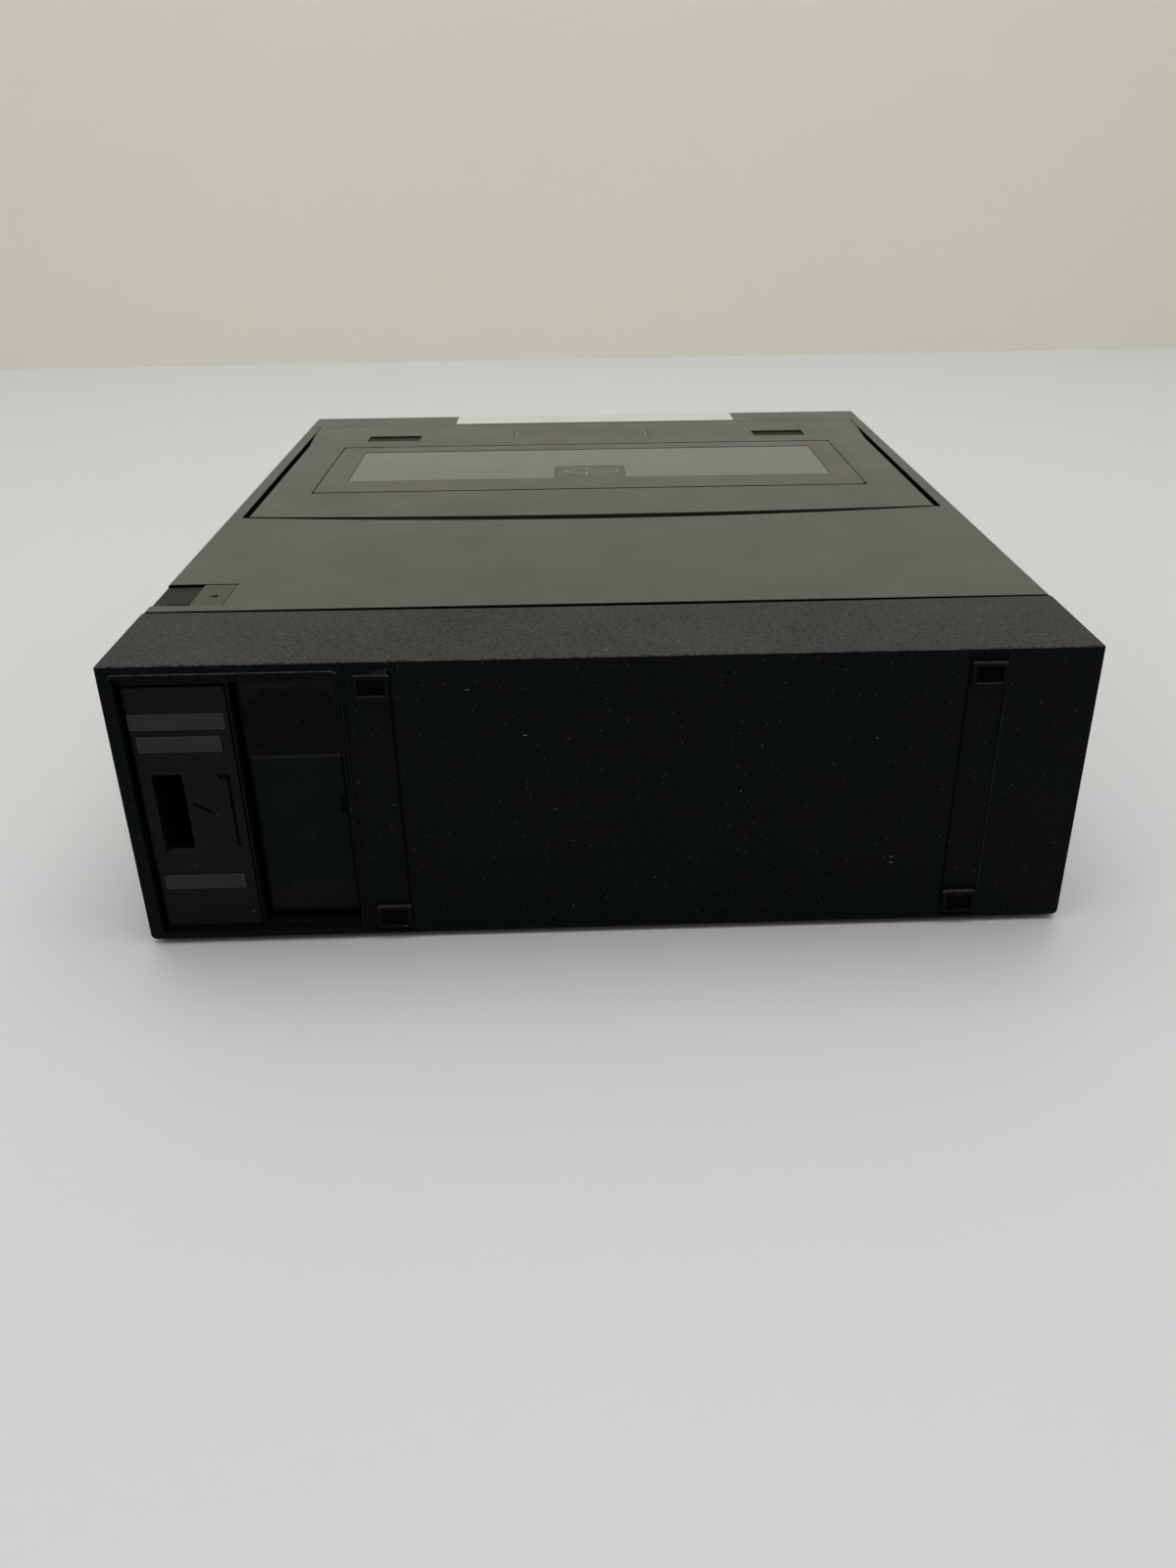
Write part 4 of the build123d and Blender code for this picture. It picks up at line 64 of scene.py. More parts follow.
# ---------------------------------------------------------------- node helpers
class Mat:
    """A procedural material built link by link, on coordinates in metres."""

    def __init__(self, name):
        self.mat = bpy.data.materials.new(name)
        self.mat.use_nodes = True
        self.tree = self.mat.node_tree
        self.tree.nodes.clear()
        self.out = self.add("ShaderNodeOutputMaterial")
        self.bsdf = self.add("ShaderNodeBsdfPrincipled")
        self.link(self.bsdf.outputs[0], self.out.inputs[0])
        coords = self.add("ShaderNodeTexCoord")
        self.pos = coords.outputs["Object"]
        self.normal = coords.outputs["Normal"]
        self.height = None

    def add(self, kind, **values):
        node = self.tree.nodes.new(kind)
        for key, value in values.items():
            setattr(node, key, value)
        return node

    def link(self, a, b):
        self.tree.links.new(a, b)

    def scaled(self, scale, turn=0.0):
        """Object coordinates turned about Z, then stretched by a scale."""
        node = self.add("ShaderNodeMapping")
        node.inputs["Rotation"].default_value[2] = turn
        node.inputs["Scale"].default_value = scale if hasattr(scale, "__len__") else (scale,) * 3
        self.link(self.pos, node.inputs["Vector"])
        return node.outputs[0]

    def noise(self, scale, detail=3.0, rough=0.55, stretch=(1, 1, 1), turn=0.0):
        node = self.add("ShaderNodeTexNoise")
        node.inputs["Scale"].default_value = 1.0
        node.inputs["Detail"].default_value = detail
        node.inputs["Roughness"].default_value = rough
        vector = self.scaled([scale * s for s in stretch], turn)
        self.link(vector, node.inputs["Vector"])
        return node.outputs[0]

    def ramp(self, value, low, high, first=0.0, last=1.0):
        node = self.add("ShaderNodeMapRange", clamp=True)
        self.link(value, node.inputs["Value"])
        for key, number in zip(("From Min", "From Max", "To Min", "To Max"),
                               (low, high, first, last)):
            node.inputs[key].default_value = number
        return node.outputs[0]

    def math(self, op, a, b=0.0):
        node = self.add("ShaderNodeMath", operation=op)
        for socket, value in zip(node.inputs, (a, b)):
            if isinstance(value, (int, float)):
                socket.default_value = value
            else:
                self.link(value, socket)
        return node.outputs[0]

    def mix(self, factor, a, b):
        """Two colours mixed by a varying factor; each is a colour or a socket."""
        node = self.add("ShaderNodeMix", data_type="RGBA")
        self.link(factor, node.inputs[0])
        for socket, value in ((node.inputs[6], a), (node.inputs[7], b)):
            if isinstance(value, tuple):
                socket.default_value = (*value, 1)
            else:
                self.link(value, socket)
        return node.outputs[2]

    def specks(self, per_metre, size, keep):
        """Scattered small dots: cells that hold a dot and are picked at random."""
        node = self.add("ShaderNodeTexVoronoi")
        node.inputs["Scale"].default_value = 1.0
        node.inputs["Randomness"].default_value = 1.0
        self.link(self.scaled(per_metre), node.inputs["Vector"])
        near = self.ramp(node.outputs["Distance"], size, size * 0.55)
        split = self.add("ShaderNodeSeparateColor")
        self.link(node.outputs["Color"], split.inputs[0])
        picked = self.math("LESS_THAN", split.outputs[0], keep)
        return self.math("MULTIPLY", near, picked)

    def scratches(self, turn, length, width, rare=0.70):
        """Thin straight marks in one direction, lengths and widths in millimetres."""
        streak = self.noise(1000, 1, 0.5, (1 / length, 1 / width, 1 / width), turn)
        return self.ramp(streak, rare, rare + 0.05)

    def part_of(self, vector, index):
        split = self.add("ShaderNodeSeparateXYZ")
        self.link(vector, split.inputs[0])
        return split.outputs[index]

    def upward(self, low=0.5, high=0.95):
        """One where the surface faces up, nought on walls."""
        return self.ramp(self.part_of(self.normal, 2), low, high)

    def bump(self, value, distance, strength=1.0):
        node = self.add("ShaderNodeBump")
        node.inputs["Distance"].default_value = distance
        node.inputs["Strength"].default_value = strength
        self.link(value, node.inputs["Height"])
        if self.height:
            self.link(self.height, node.inputs["Normal"])
        self.height = node.outputs[0]

    def done(self, color=None, rough=None, **fixed):
        for key, value in (("Base Color", color), ("Roughness", rough)):
            if isinstance(value, (int, float)):
                self.bsdf.inputs[key].default_value = value
            elif isinstance(value, tuple):
                self.bsdf.inputs[key].default_value = (*value, 1)
            else:
                self.link(value, self.bsdf.inputs[key])
        if self.height:
            self.link(self.height, self.bsdf.inputs["Normal"])
        for key, value in fixed.items():
            self.bsdf.inputs[key.replace("_", " ")].default_value = value
        return self.mat


def shade(color, k):
    return tuple(min(1.0, c * k) for c in color)


def plastic(name, color, rough, grain=0.0, grain_size=0.45, dust=0.0, smudge=0.12,
            dust_color=DUST, film=None, scratched=0.0, gloss=0.35, mottle=0.32, worn_edge_highlight=None, **fixed):
    """Moulded plastic: uneven tone, grain, scratches and settled dust; a film of dust and painted
    sheen on up-facing faces, and worn edges with a painted highlight on up-tilted edges.
    """
    m = Mat(name)
    tone = m.ramp(m.noise(28, 4), 0.32, 0.68)
    col = m.mix(tone, shade(color, 1 - smudge), shade(color, 1 + smudge))
    # Up-facing faces are painted lighter in patches: partly settled dust, partly a painted sheen.
    if film:
        patchy = m.ramp(m.noise(16, 5, 0.6), 0.30, 0.70, 0.84, 1.0)
        col = m.mix(m.math("MULTIPLY", m.upward(), patchy), col, film)
    # Edges that tilt upward are painted lighter: partly worn edges, partly a painted highlight.
    if worn_edge_highlight:
        worn_edge_highlight_mask = m.math("MULTIPLY", m.upward(0.12, 0.45), m.upward(0.96, 0.80))
        worn_edge_highlight_mask = m.math("MULTIPLY", worn_edge_highlight_mask, m.ramp(m.noise(220, 3), 0.25, 0.60, 0.25, 1.0))
        col = m.mix(worn_edge_highlight_mask, col, worn_edge_highlight)
    fine = m.noise(1000 / grain_size, 2, 0.6)
    darker = m.add("ShaderNodeMix", data_type="RGBA", blend_type="MULTIPLY")
    m.link(m.ramp(fine, 0.36, 0.64, 0.0, mottle), darker.inputs[0])
    m.link(col, darker.inputs[6])
    darker.inputs[7].default_value = (0.25, 0.25, 0.25, 1)
    col = darker.outputs[2]
    if scratched:
        lines = m.math("MAXIMUM", m.scratches(0.62, 22, 0.22), m.scratches(-0.35, 30, 0.20, 0.72))
        lines = m.math("MULTIPLY", lines, m.upward())
        col = m.mix(m.math("MULTIPLY", lines, scratched), col, dust_color)
    if dust:
        spots = m.specks(420, 0.08, 0.10 * dust)
        tiny = m.specks(1300, 0.15, 0.09 * dust)
        fibres = m.specks((150, 700, 700), 0.10, 0.03 * dust)
        both = m.math("MAXIMUM", m.math("MAXIMUM", spots, tiny), fibres)
        haze = m.math("MULTIPLY", m.ramp(m.noise(9, 5), 0.40, 0.75, 0.0, 0.04 * dust), m.upward())
        col = m.mix(m.math("MAXIMUM", m.math("MULTIPLY", both, 0.6), haze), col, dust_color)
    roughness = m.ramp(m.noise(40, 5), 0.3, 0.7, rough * 0.9, rough * 1.12)
    if grain:
        m.bump(fine, grain * MM, 1.0)
    m.bump(m.noise(60, 2), 0.02 * MM, 0.6)
    return m.done(col, roughness, Specular_IOR_Level=gloss, **fixed)


def metal(name, color, rough, stretch=(1, 1, 1), brush=900, depth=0.004):
    """Metal with fine drawn or turned marks and slight staining."""
    m = Mat(name)
    marks = m.noise(brush, 3, 0.6, stretch)
    stain = m.ramp(m.noise(55, 4), 0.35, 0.7)
    col = m.mix(stain, shade(color, 0.82), color)
    col = m.mix(m.ramp(marks, 0.3, 0.7, 0.0, 0.3), col, shade(color, 0.7))
    roughness = m.ramp(marks, 0.3, 0.7, rough * 0.8, rough * 1.25)
    m.bump(marks, depth * MM)
    return m.done(col, roughness, Metallic=1.0)


def smoked(name, dark, pale, rough, scale, coat, coat_rough):
    """Smoked glossy sheet with wiped smears that dull its gloss."""
    m = Mat(name)
    smear = m.ramp(m.noise(scale, 5, 0.6, (0.4, 1.7, 1), 0.5), 0.36, 0.70)
    prints = m.ramp(m.noise(scale * 2.2, 3, 0.5), 0.58, 0.72, 0.0, 0.35)
    both = m.math("MAXIMUM", smear, prints)
    dots = m.math("MULTIPLY", m.specks(520, 0.12, 0.05), 0.5)
    col = m.mix(dots, m.mix(both, dark, pale), DUST)
    m.bump(m.noise(24, 2), 0.03 * MM, 0.5)
    return m.done(col, m.ramp(both, 0, 1, rough, rough * 2.1), IOR=1.50,
                  Coat_Weight=coat, Coat_Roughness=coat_rough)


def film_wrap(name, low, high, margin):
    """Shrunk film round the battery: clouded above its ledge, pale at its margins, with a painted
    highlight along the ledge.
    """
    m = Mat(name)
    x, z = m.part_of(m.pos, 0), m.part_of(m.pos, 2)
    ragged = m.math("MULTIPLY", m.ramp(m.noise(110, 4, 0.6), 0.3, 0.7, -1, 1), 2.4 * MM)
    left = m.ramp(x, FILM_LEFT, FILM_LEFT + 6 * MM, 6 * MM, 0)
    right = m.ramp(x, FILM_RIGHT - 4 * MM, FILM_RIGHT, 0, 5 * MM)
    height = m.math("ADD", m.math("ADD", z, ragged), m.math("ADD", left, right))
    col = m.mix(m.ramp(z, LEDGE_Z, LEDGE_Z + 0.4 * MM), low, high)
    col = m.mix(m.ramp(height, MARGIN_Z, MARGIN_Z + 0.6 * MM), col, margin)
    foot = m.ramp(m.math("SUBTRACT", z, ragged), FOOT_Z + FOOT_RISE, FOOT_Z)
    col = m.mix(m.math("MULTIPLY", foot, 0.6), col, margin)
    # A painted highlight along the ledge: a pale line where the film steps out.
    rise = m.ramp(z, LEDGE_Z - 0.5 * MM, LEDGE_Z - 0.1 * MM)
    fall = m.ramp(z, LEDGE_Z + 0.5 * MM, LEDGE_Z + 0.1 * MM)
    col = m.mix(m.math("MULTIPLY", rise, fall), col, shade(margin, 1.9))
    creases = m.ramp(m.noise(700, 2, 0.5, (1, 1, 0.12)), 0.56, 0.66)
    near_edge = m.math("MAXIMUM", m.ramp(x, FILM_RIGHT - 3 * MM, FILM_RIGHT - 1 * MM),
                       m.ramp(x, FILM_LEFT + 3 * MM, FILM_LEFT + 1 * MM))
    col = m.mix(m.math("MULTIPLY", m.math("MULTIPLY", creases, near_edge), 0.8), col, margin)
    cloud = m.ramp(m.noise(70, 4), 0.35, 0.7, 0.0, 0.5)
    col = m.mix(cloud, col, shade(low, 0.6))
    col = m.mix(m.math("MULTIPLY", m.specks(900, 0.12, 0.06), 0.3), col, DUST)
    m.bump(m.noise(500, 3, 0.6, (1, 1, 0.25)), 0.03 * MM)
    return m.done(col, m.ramp(m.noise(90, 3), 0.3, 0.7, 0.22, 0.34), Specular_IOR_Level=0.05)


def materials():
    made = {}
    made["case_plastic"] = plastic("case_plastic", (0.020, 0.021, 0.021), 0.5, 0.035, 0.5, 0.5)
    made["cover_plastic"] = plastic("cover_plastic", (0.053, 0.0525, 0.0405), 0.36, 0.008, 0.5, 0.35,
                                    smudge=0.07, scratched=0.06, gloss=0.31)
    # The cap's film and edge colour are settled dust and worn edges, with a painted sheen on up-facing
    # faces and a painted highlight on up-tilted edges.
    made["cap_plastic"] = plastic("cap_plastic", (0.0015, 0.0037, 0.0046), 0.50, 0.06, 0.9, 0.7,
                                  film=(0.048, 0.049, 0.040), scratched=0.12, gloss=0.06,
                                  mottle=0.85, worn_edge_highlight=(0.085, 0.085, 0.075))
    # The door's film is settled dust with a painted sheen on up-facing faces.
    made["door_plastic"] = plastic("door_plastic", (0.0042, 0.0046, 0.0058), 0.45, 0.02, 0.5, 0.4,
                                   film=(0.026, 0.026, 0.024), gloss=0.09)
    made["socket_plastic"] = plastic("socket_plastic", (0.004, 0.004, 0.004), 0.32, gloss=0.25)
    made["key_plastic"] = plastic("key_plastic", (0.050, 0.050, 0.046), 0.38, 0.010)
    made["reel_plastic"] = plastic("reel_plastic", (0.03, 0.03, 0.032), 0.34)
    made["gear_plastic"] = plastic("gear_plastic", (0.70, 0.68, 0.62), 0.42)
    made["window_border"] = plastic("window_border", (0.036, 0.035, 0.028), 0.30, 0.003, 0.5, 0.2)
    made["badge"] = plastic("badge", (0.055, 0.053, 0.045), 0.40, 0.006)
    made["rubber"] = plastic("rubber", (0.012, 0.012, 0.012), 0.72, 0.03)
    made["label_white"] = plastic("label_white", (0.58, 0.58, 0.545), 0.45, 0.004, 0.3, 0.3,
                                  smudge=0.04, dust_color=(0.35, 0.34, 0.32))
    made["circuit_board"] = plastic("circuit_board", (0.03, 0.13, 0.05), 0.35, 0.02, 1.6)
    made["battery_wrap"] = film_wrap("battery_wrap", (0.0032, 0.0060, 0.0060),
                                     (0.0012, 0.0026, 0.0028), (0.0100, 0.0105, 0.0125))
    made["screw_steel"] = metal("screw_steel", (0.16, 0.16, 0.165), 0.38)
    made["sheet_steel"] = metal("sheet_steel", (0.55, 0.55, 0.52), 0.34, (0.06, 1, 1))
    made["polished_steel"] = metal("polished_steel", (0.66, 0.66, 0.66), 0.14)
    made["tin_plate"] = metal("tin_plate", (0.60, 0.60, 0.57), 0.30)
    made["drum_aluminium"] = metal("drum_aluminium", (0.78, 0.78, 0.78), 0.20, (1, 1, 0.05))
    made["contact_brass"] = metal("contact_brass", (0.72, 0.55, 0.26), 0.25)
    made["window_clear"] = smoked("window_clear", (0.022, 0.024, 0.024), (0.040, 0.042, 0.041),
                                  0.12, 30, 0.30, 0.08)
    made["display_smoke"] = smoked("display_smoke", (0.010, 0.010, 0.011), (0.016, 0.016, 0.018),
                                   0.06, 50, 0.5, 0.04)
    return made


# ---------------------------------------------------------------- places
for plain in list(bpy.data.materials):
    bpy.data.materials.remove(plain)
MATS = materials()
# Near-black painted shade, put on the walls of gaps, grooves, recesses and sockets.
PAINTED_GAP_SHADE = plastic("painted_gap_shade", BLACK, 0.8, gloss=0.0)
# Dark grey painted shade on the lid's outer edges.
PAINTED_EDGE_SHADE = plastic("painted_edge_shade", (0.030, 0.030, 0.025), 0.5, 0.008, gloss=0.10)
# Darker painted shade on the floors of the lid's grips and of the slider's track.
PAINTED_RECESS_SHADE = plastic("painted_recess_shade", (0.030, 0.030, 0.023), 0.55, 0.008, 0.5, 0.3, gloss=0.04)
SLIDER_GREY = plastic("slider_grey", (0.046, 0.046, 0.035), 0.38, 0.008, 0.5, 0.3, gloss=0.20)
PLATE_BARE = plastic("plate_bare", (0.021, 0.021, 0.022), 0.42, 0.010, 0.5, 0.4, gloss=0.20)
# A paler painted highlight on edges: the channels' far walls and the rims of the door's plates.
PAINTED_EDGE_HIGHLIGHT = plastic("painted_edge_highlight", (0.040, 0.042, 0.042), 0.45, 0.010, 0.5, gloss=0.15)
CHIP_BLACK = plastic("chip_black", (0.010, 0.010, 0.011), 0.42, 0.010)
CAN_BLUE = plastic("can_blue", (0.015, 0.022, 0.060), 0.30)
MARK_PALE = plastic("mark_pale", PRINT_PALE, 0.45)
MARK_RED = plastic("mark_red", (0.36, 0.030, 0.020), 0.42)
MARK_DARK = plastic("mark_dark", shade(BLACK, 0.3), 0.6, gloss=0.0)
SLOT = {p["node"]: p["material_slot"] for p in frame["record"]["subparts"]}
BODY = {n: b for b, ns in frame["record"]["behaviour"]["bodies"].items() for n in ns}
RIGHT, AWAY, UP = Vector((1, 0, 0)), Vector((0, 1, 0)), Vector((0, 0, 1))


def limits(node):
    """A node's lowest and highest corners in millimetres."""
    return tuple(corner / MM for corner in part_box(node))


LID_LO, LID_HI = limits("cassette_lid")
COVER_HI = limits("top_cover")[1]
CAP_LO = limits("rear_cap")[0]
LUG_FLOOR_Y = CAP_LO.y + 1.2    # floor of the pockets in the lugs
BEZEL_LO, BEZEL_HI = limits("window_bezel")
PACK_LO, PACK_HI = limits("battery_pack")
DOOR_LO, DOOR_HI = limits("connector_door")
KNOB_HI = limits("battery_slider")[1]
DRUM_TOP = limits("upper_drum")[1].z
TOP = LID_HI.z
GRIP_INNER, GRIP_OUTER = 60, 100    # the lid's grips lie between these, from its middle
FAR_INNER, FAR_OUTER = 60, 99       # and so do the far walls of the cap's channels
LUG_FLOOR_BAND = 0.05


def paint(obj, mat):
    obj.data.materials.clear()
    obj.data.materials.append(mat)


def make(name, bm, body, slot_name, *mats):
    """A new piece from a mesh, riding on a body."""
    mesh = bpy.data.meshes.new(name)
    bm.to_mesh(mesh)
    bm.free()
    for mat in mats:
        mesh.materials.append(mat)
    obj = bpy.data.objects.new(name, mesh)
    bpy.context.collection.objects.link(obj)
    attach(obj, body)
    return obj


# ---------------------------------------------------------------- dressed solids
def dress(node, width=0.25, segments=2, angle=32, smooth=25, tints=(), carve=None):
    """The node's own shape with its sharp edges broken, shown in its place.

    Each tint is a material and a test on a face's middle, in millimetres, and its normal.
    """
    bm = bmesh.new()
    bm.from_mesh(frame["nodes"][node].data)
    bmesh.ops.remove_doubles(bm, verts=bm.verts, dist=1e-6)
    bmesh.ops.dissolve_limit(bm, angle_limit=math.radians(0.4), verts=bm.verts, edges=bm.edges)
    if carve:
        carve(bm)
    for face in bm.faces:
        face.material_index = 0
        middle = face.calc_center_median() / MM
        for index, (mat, test) in enumerate(tints):
            if test(middle, face.normal):
                face.material_index = index + 1
    obj = make(node + "_skin", bm, BODY[node], SLOT[node], MATS[SLOT[node]],
               *(mat for mat, test in tints))
    bevel = obj.modifiers.new("edge", "BEVEL")
    bevel.width = width * MM
    bevel.segments = segments
    bevel.limit_method = "ANGLE"
    bevel.angle_limit = math.radians(angle)
    bevel.harden_normals = True
    bevel.use_clamp_overlap = True
    obj.data.shade_smooth()
    obj.data.set_sharp_from_angle(angle=math.radians(smooth))
    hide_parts(node)
    return obj


def upright(normal):
    return abs(normal.z) < 0.6


def cover_gap_shade(middle, normal):
    """Walls of the lid's opening and of the seams, not the outer sides: painted shade."""
    return upright(normal) and abs(middle.x) < COVER_HI.x - 1.0


def lid_groove_shade(middle, normal):
    """The groove round the window, painted in shade."""
    in_field = (BEZEL_LO.y - 2 < middle.y < BEZEL_HI.y + 2
                and BEZEL_LO.x - 2 < middle.x < BEZEL_HI.x + 2)
    return in_field and middle.z > TOP - 3 and (upright(normal) or middle.z < TOP - 0.5)


def lid_edge_shade(middle, normal):
    """The lid's outer edges, which show in the gap round it, painted darker as painted shade."""
    outside = abs(middle.x) > LID_HI.x - 3 or middle.y > LID_HI.y - 1 or middle.y < LID_LO.y + 5
    return upright(normal) and outside


def slider_track_shade(middle, normal):
    """Floor of the pocket that the battery's slider runs in, painted darker as painted shade."""
    return middle.x < KNOB_HI.x and middle.y < KNOB_HI.y + 9 and middle.z < TOP - 0.8


def in_grip(middle):
    return BEZEL_HI.y + 8 < middle.y < LID_HI.y - 12 and GRIP_INNER < abs(middle.x) < GRIP_OUTER


# The lid's grips, painted darker as painted shade.
def lid_grip_shade(middle, normal):
    return in_grip(middle) and TOP - 1.5 < middle.z < TOP - 0.1


def cap_seam_and_bay_shade(middle, normal):
    """Painted shade on the cap's edge at the seam, the walls of the battery bay, the sill below the
    door and the floors of the lugs' pockets.
    """
    in_bay = PACK_LO.x - 2 < middle.x < PACK_HI.x + 2 and middle.z < TOP - 2
    bay_wall = in_bay and abs(normal.y) < 0.5 and middle.y > CAP_LO.y + 3
    sill = normal.z > 0.7 and middle.z < DOOR_LO.z + 4 and middle.y < DOOR_HI.y + 3
    lug_pocket = normal.y < -0.9 and abs(middle.y - LUG_FLOOR_Y) < LUG_FLOOR_BAND
    return normal.y > 0.6 or bay_wall or sill or lug_pocket


def channel_far_wall_highlight(middle, normal):
    """The wall of each upright channel that faces the middle of the case, painted paler as a painted
    highlight.
    """
    far_out = FAR_INNER < abs(middle.x) < FAR_OUTER
    return (normal.x * middle.x < -50 and far_out
            and CAP_LO.y + 0.7 < middle.y < CAP_LO.y + 1.5)


def everywhere(middle, normal):
    return True


def door_plate(middle, normal):
    return normal.y < -0.9 and middle.y < DOOR_LO.y + 0.1


# The bezel's outer walls, in the groove round the window, painted in shade.
def bezel_side_shade(middle, normal):
    outer = (min(middle.x - BEZEL_LO.x, BEZEL_HI.x - middle.x) < 0.5
             or min(middle.y - BEZEL_LO.y, BEZEL_HI.y - middle.y) < 0.5)
    return upright(normal) and outer


def slider_face(middle, normal):
    return normal.z > 0.6 and middle.z > KNOB_HI.z - 0.6


# The slider's parts below its knob's face, down in the well, painted in shade.
def slider_well_shade(middle, normal):
    return middle.z < KNOB_HI.z - 0.6


def drum_top_shade(middle, normal):
    """The top of the turning drum, painted dark: painted shade where it shows through the lid's gap.
    """
    return normal.z > 0.8 and middle.z > DRUM_TOP - 3


def above_board(node, axis, thick=1.6):
    """Parts that stand on a board whose copper side is at its low face."""
    face = limits(node)[0][axis] + thick
    return lambda middle, normal: middle[axis] > face + 0.1


def dished(bm):
    """A key's face, sunk inside a narrow rim."""
    front = max(bm.faces, key=lambda f: (round(f.calc_center_median().y, 5), f.calc_area()))
    bmesh.ops.inset_region(bm, faces=[front], thickness=1.0 * MM)
    bmesh.ops.inset_region(bm, faces=[front], thickness=0.35 * MM, depth=-0.25 * MM)


for node, obj in frame["nodes"].items():
    paint(obj, MATS[SLOT[node]])

dress("rear_cap", width=0.12, tints=[(PAINTED_GAP_SHADE, cap_seam_and_bay_shade), (PAINTED_EDGE_HIGHLIGHT, channel_far_wall_highlight)])
dress("top_cover", width=0.06, tints=[(PAINTED_GAP_SHADE, cover_gap_shade), (PAINTED_RECESS_SHADE, slider_track_shade)])
dress("cassette_lid", width=0.06,
      tints=[(PAINTED_EDGE_SHADE, lid_edge_shade), (PAINTED_GAP_SHADE, lid_groove_shade), (PAINTED_RECESS_SHADE, lid_grip_shade)])
dress("window_bezel", width=0.06, tints=[(PAINTED_GAP_SHADE, bezel_side_shade)])
# The battery tray and the adaptor socket are painted all over in shade.
dress("battery_tray", width=0.15, tints=[(PAINTED_GAP_SHADE, everywhere)])
dress("adaptor_socket", width=0.10, tints=[(PAINTED_GAP_SHADE, everywhere)])
dress("connector_door", width=0.18, tints=[(PLATE_BARE, door_plate)])
dress("battery_slider", width=0.08, tints=[(PAINTED_GAP_SHADE, slider_well_shade), (SLIDER_GREY, slider_face)])
KEYS = ("eject", "rewind", "stop", "play", "forward", "record", "pause")
for key in KEYS:
    dress(key + "_key", width=0.15, carve=dished)
dress("front_panel", width=0.10)
for node in ("bottom_case", "battery_pack", "window_pane", "lid_badge",
             "power_switch", "tracking_knob", "rubber_feet", "cassette_basket", "lid_latch"):
    dress(node)
for node in ("jack_panel", "camera_socket", "av_jacks",
             "display_window", "supply_reel", "takeup_reel", "lower_drum", "deck_plate",
             "pinch_roller", "supply_guide", "takeup_guide", "erase_head", "control_head",
             "pinch_arm", "idler_arm", "rf_modulator", "capstan_motor", "loading_motor"):
    dress(node, width=0.15)
dress("upper_drum", width=0.15, tints=[(CHIP_BLACK, drum_top_shade)])
dress("main_board", width=0.1, tints=[(CHIP_BLACK, above_board("main_board", 2))])
dress("power_board", width=0.1, tints=[(CHIP_BLACK, above_board("power_board", 2)),
                                       (CAN_BLUE, above_board("power_board", 2, 18.5))])
dress("front_board", width=0.1, tints=[(CHIP_BLACK, above_board("front_board", 1))])


# ---------------------------------------------------------------- marks
def stroke(points, width, closed=True):
    """A line of even width along the points, as four-sided outlines with mitred corners."""
    points = [Vector(p) for p in points]
    rails = []
    for i, point in enumerate(points):
        ways = []
        if closed or i > 0:
            ways.append((point - points[i - 1]).normalized())
        if closed or i < len(points) - 1:
            ways.append((points[(i + 1) % len(points)] - point).normalized())
        side = sum((Vector((-w.y, w.x)) for w in ways), Vector((0, 0))).normalized()
        reach = width / 2 / side.dot(Vector((-ways[0].y, ways[0].x)))
        rails.append((point + reach * side, point - reach * side))
    last = len(points) if closed else len(points) - 1
    turns = [(rails[i], rails[(i + 1) % len(points)]) for i in range(last)]
    return [(a[0], a[1], b[1], b[0]) for a, b in turns]


def rectangle(cx, cy, width, height):
    w, h = width / 2, height / 2
    return [(cx - w, cy - h), (cx + w, cy - h), (cx + w, cy + h), (cx - w, cy + h)]


def triangle(cx, cy, size, direction):
    """Points along the direction, given in degrees from the first axis."""
    turn = math.radians(direction)
    return [(cx + size * math.cos(turn + a), cy + size * math.sin(turn + a))
            for a in (0, math.radians(125), math.radians(-125))]


def disc(cx, cy, radius, steps=28):
    return [(cx + radius * math.cos(2 * math.pi * i / steps),
             cy + radius * math.sin(2 * math.pi * i / steps)) for i in range(steps)]


def mark(name, outlines, origin, across, along, node, mat, proud=0.05, sunk=0.1):
    """Thin raised figures on a flat face; outlines are in millimetres from the origin."""
    out = across.cross(along)
    bm = bmesh.new()
    for outline in outlines:
        ring = [bm.verts.new((origin + u * across + v * along - sunk * out) * MM)
                for u, v in outline]
        face = bm.faces.new(ring)
        grown = bmesh.ops.extrude_face_region(bm, geom=[face], use_keep_orig=True)["geom"]
        raised = [v for v in grown if isinstance(v, bmesh.types.BMVert)]
        bmesh.ops.translate(bm, verts=raised, vec=out * (proud + sunk) * MM)
    bmesh.ops.recalc_face_normals(bm, faces=bm.faces)
    return make(name, bm, BODY[node], SLOT[node], mat)


SIGN = 1.7              # half the height of a key's sign
SIGNS = {
    "eject": [triangle(0, 0.9, SIGN, 90), rectangle(0, -1.3, 3.0, 0.7)],
    "rewind": [triangle(-1.2, 0, SIGN, 180), triangle(1.5, 0, SIGN, 180)],
    "stop": [rectangle(0, 0, 3.0, 3.0)],
    "play": [triangle(0, 0, SIGN + 0.3, 0)],
    "forward": [triangle(-1.5, 0, SIGN, 0), triangle(1.2, 0, SIGN, 0)],
    "record": [disc(0, 0, SIGN)],
    "pause": [rectangle(-0.95, 0, 0.8, 3.2), rectangle(0.95, 0, 0.8, 3.2)],
}
for key, outlines in SIGNS.items():
    lo, hi = limits(key + "_key")
    face_middle = Vector(((lo.x + hi.x) / 2, hi.y - 0.25, (lo.z + hi.z) / 2))
    mark(key + "_sign", outlines, face_middle, -RIGHT, UP, key + "_key",
         MARK_RED if key == "record" else MARK_PALE)

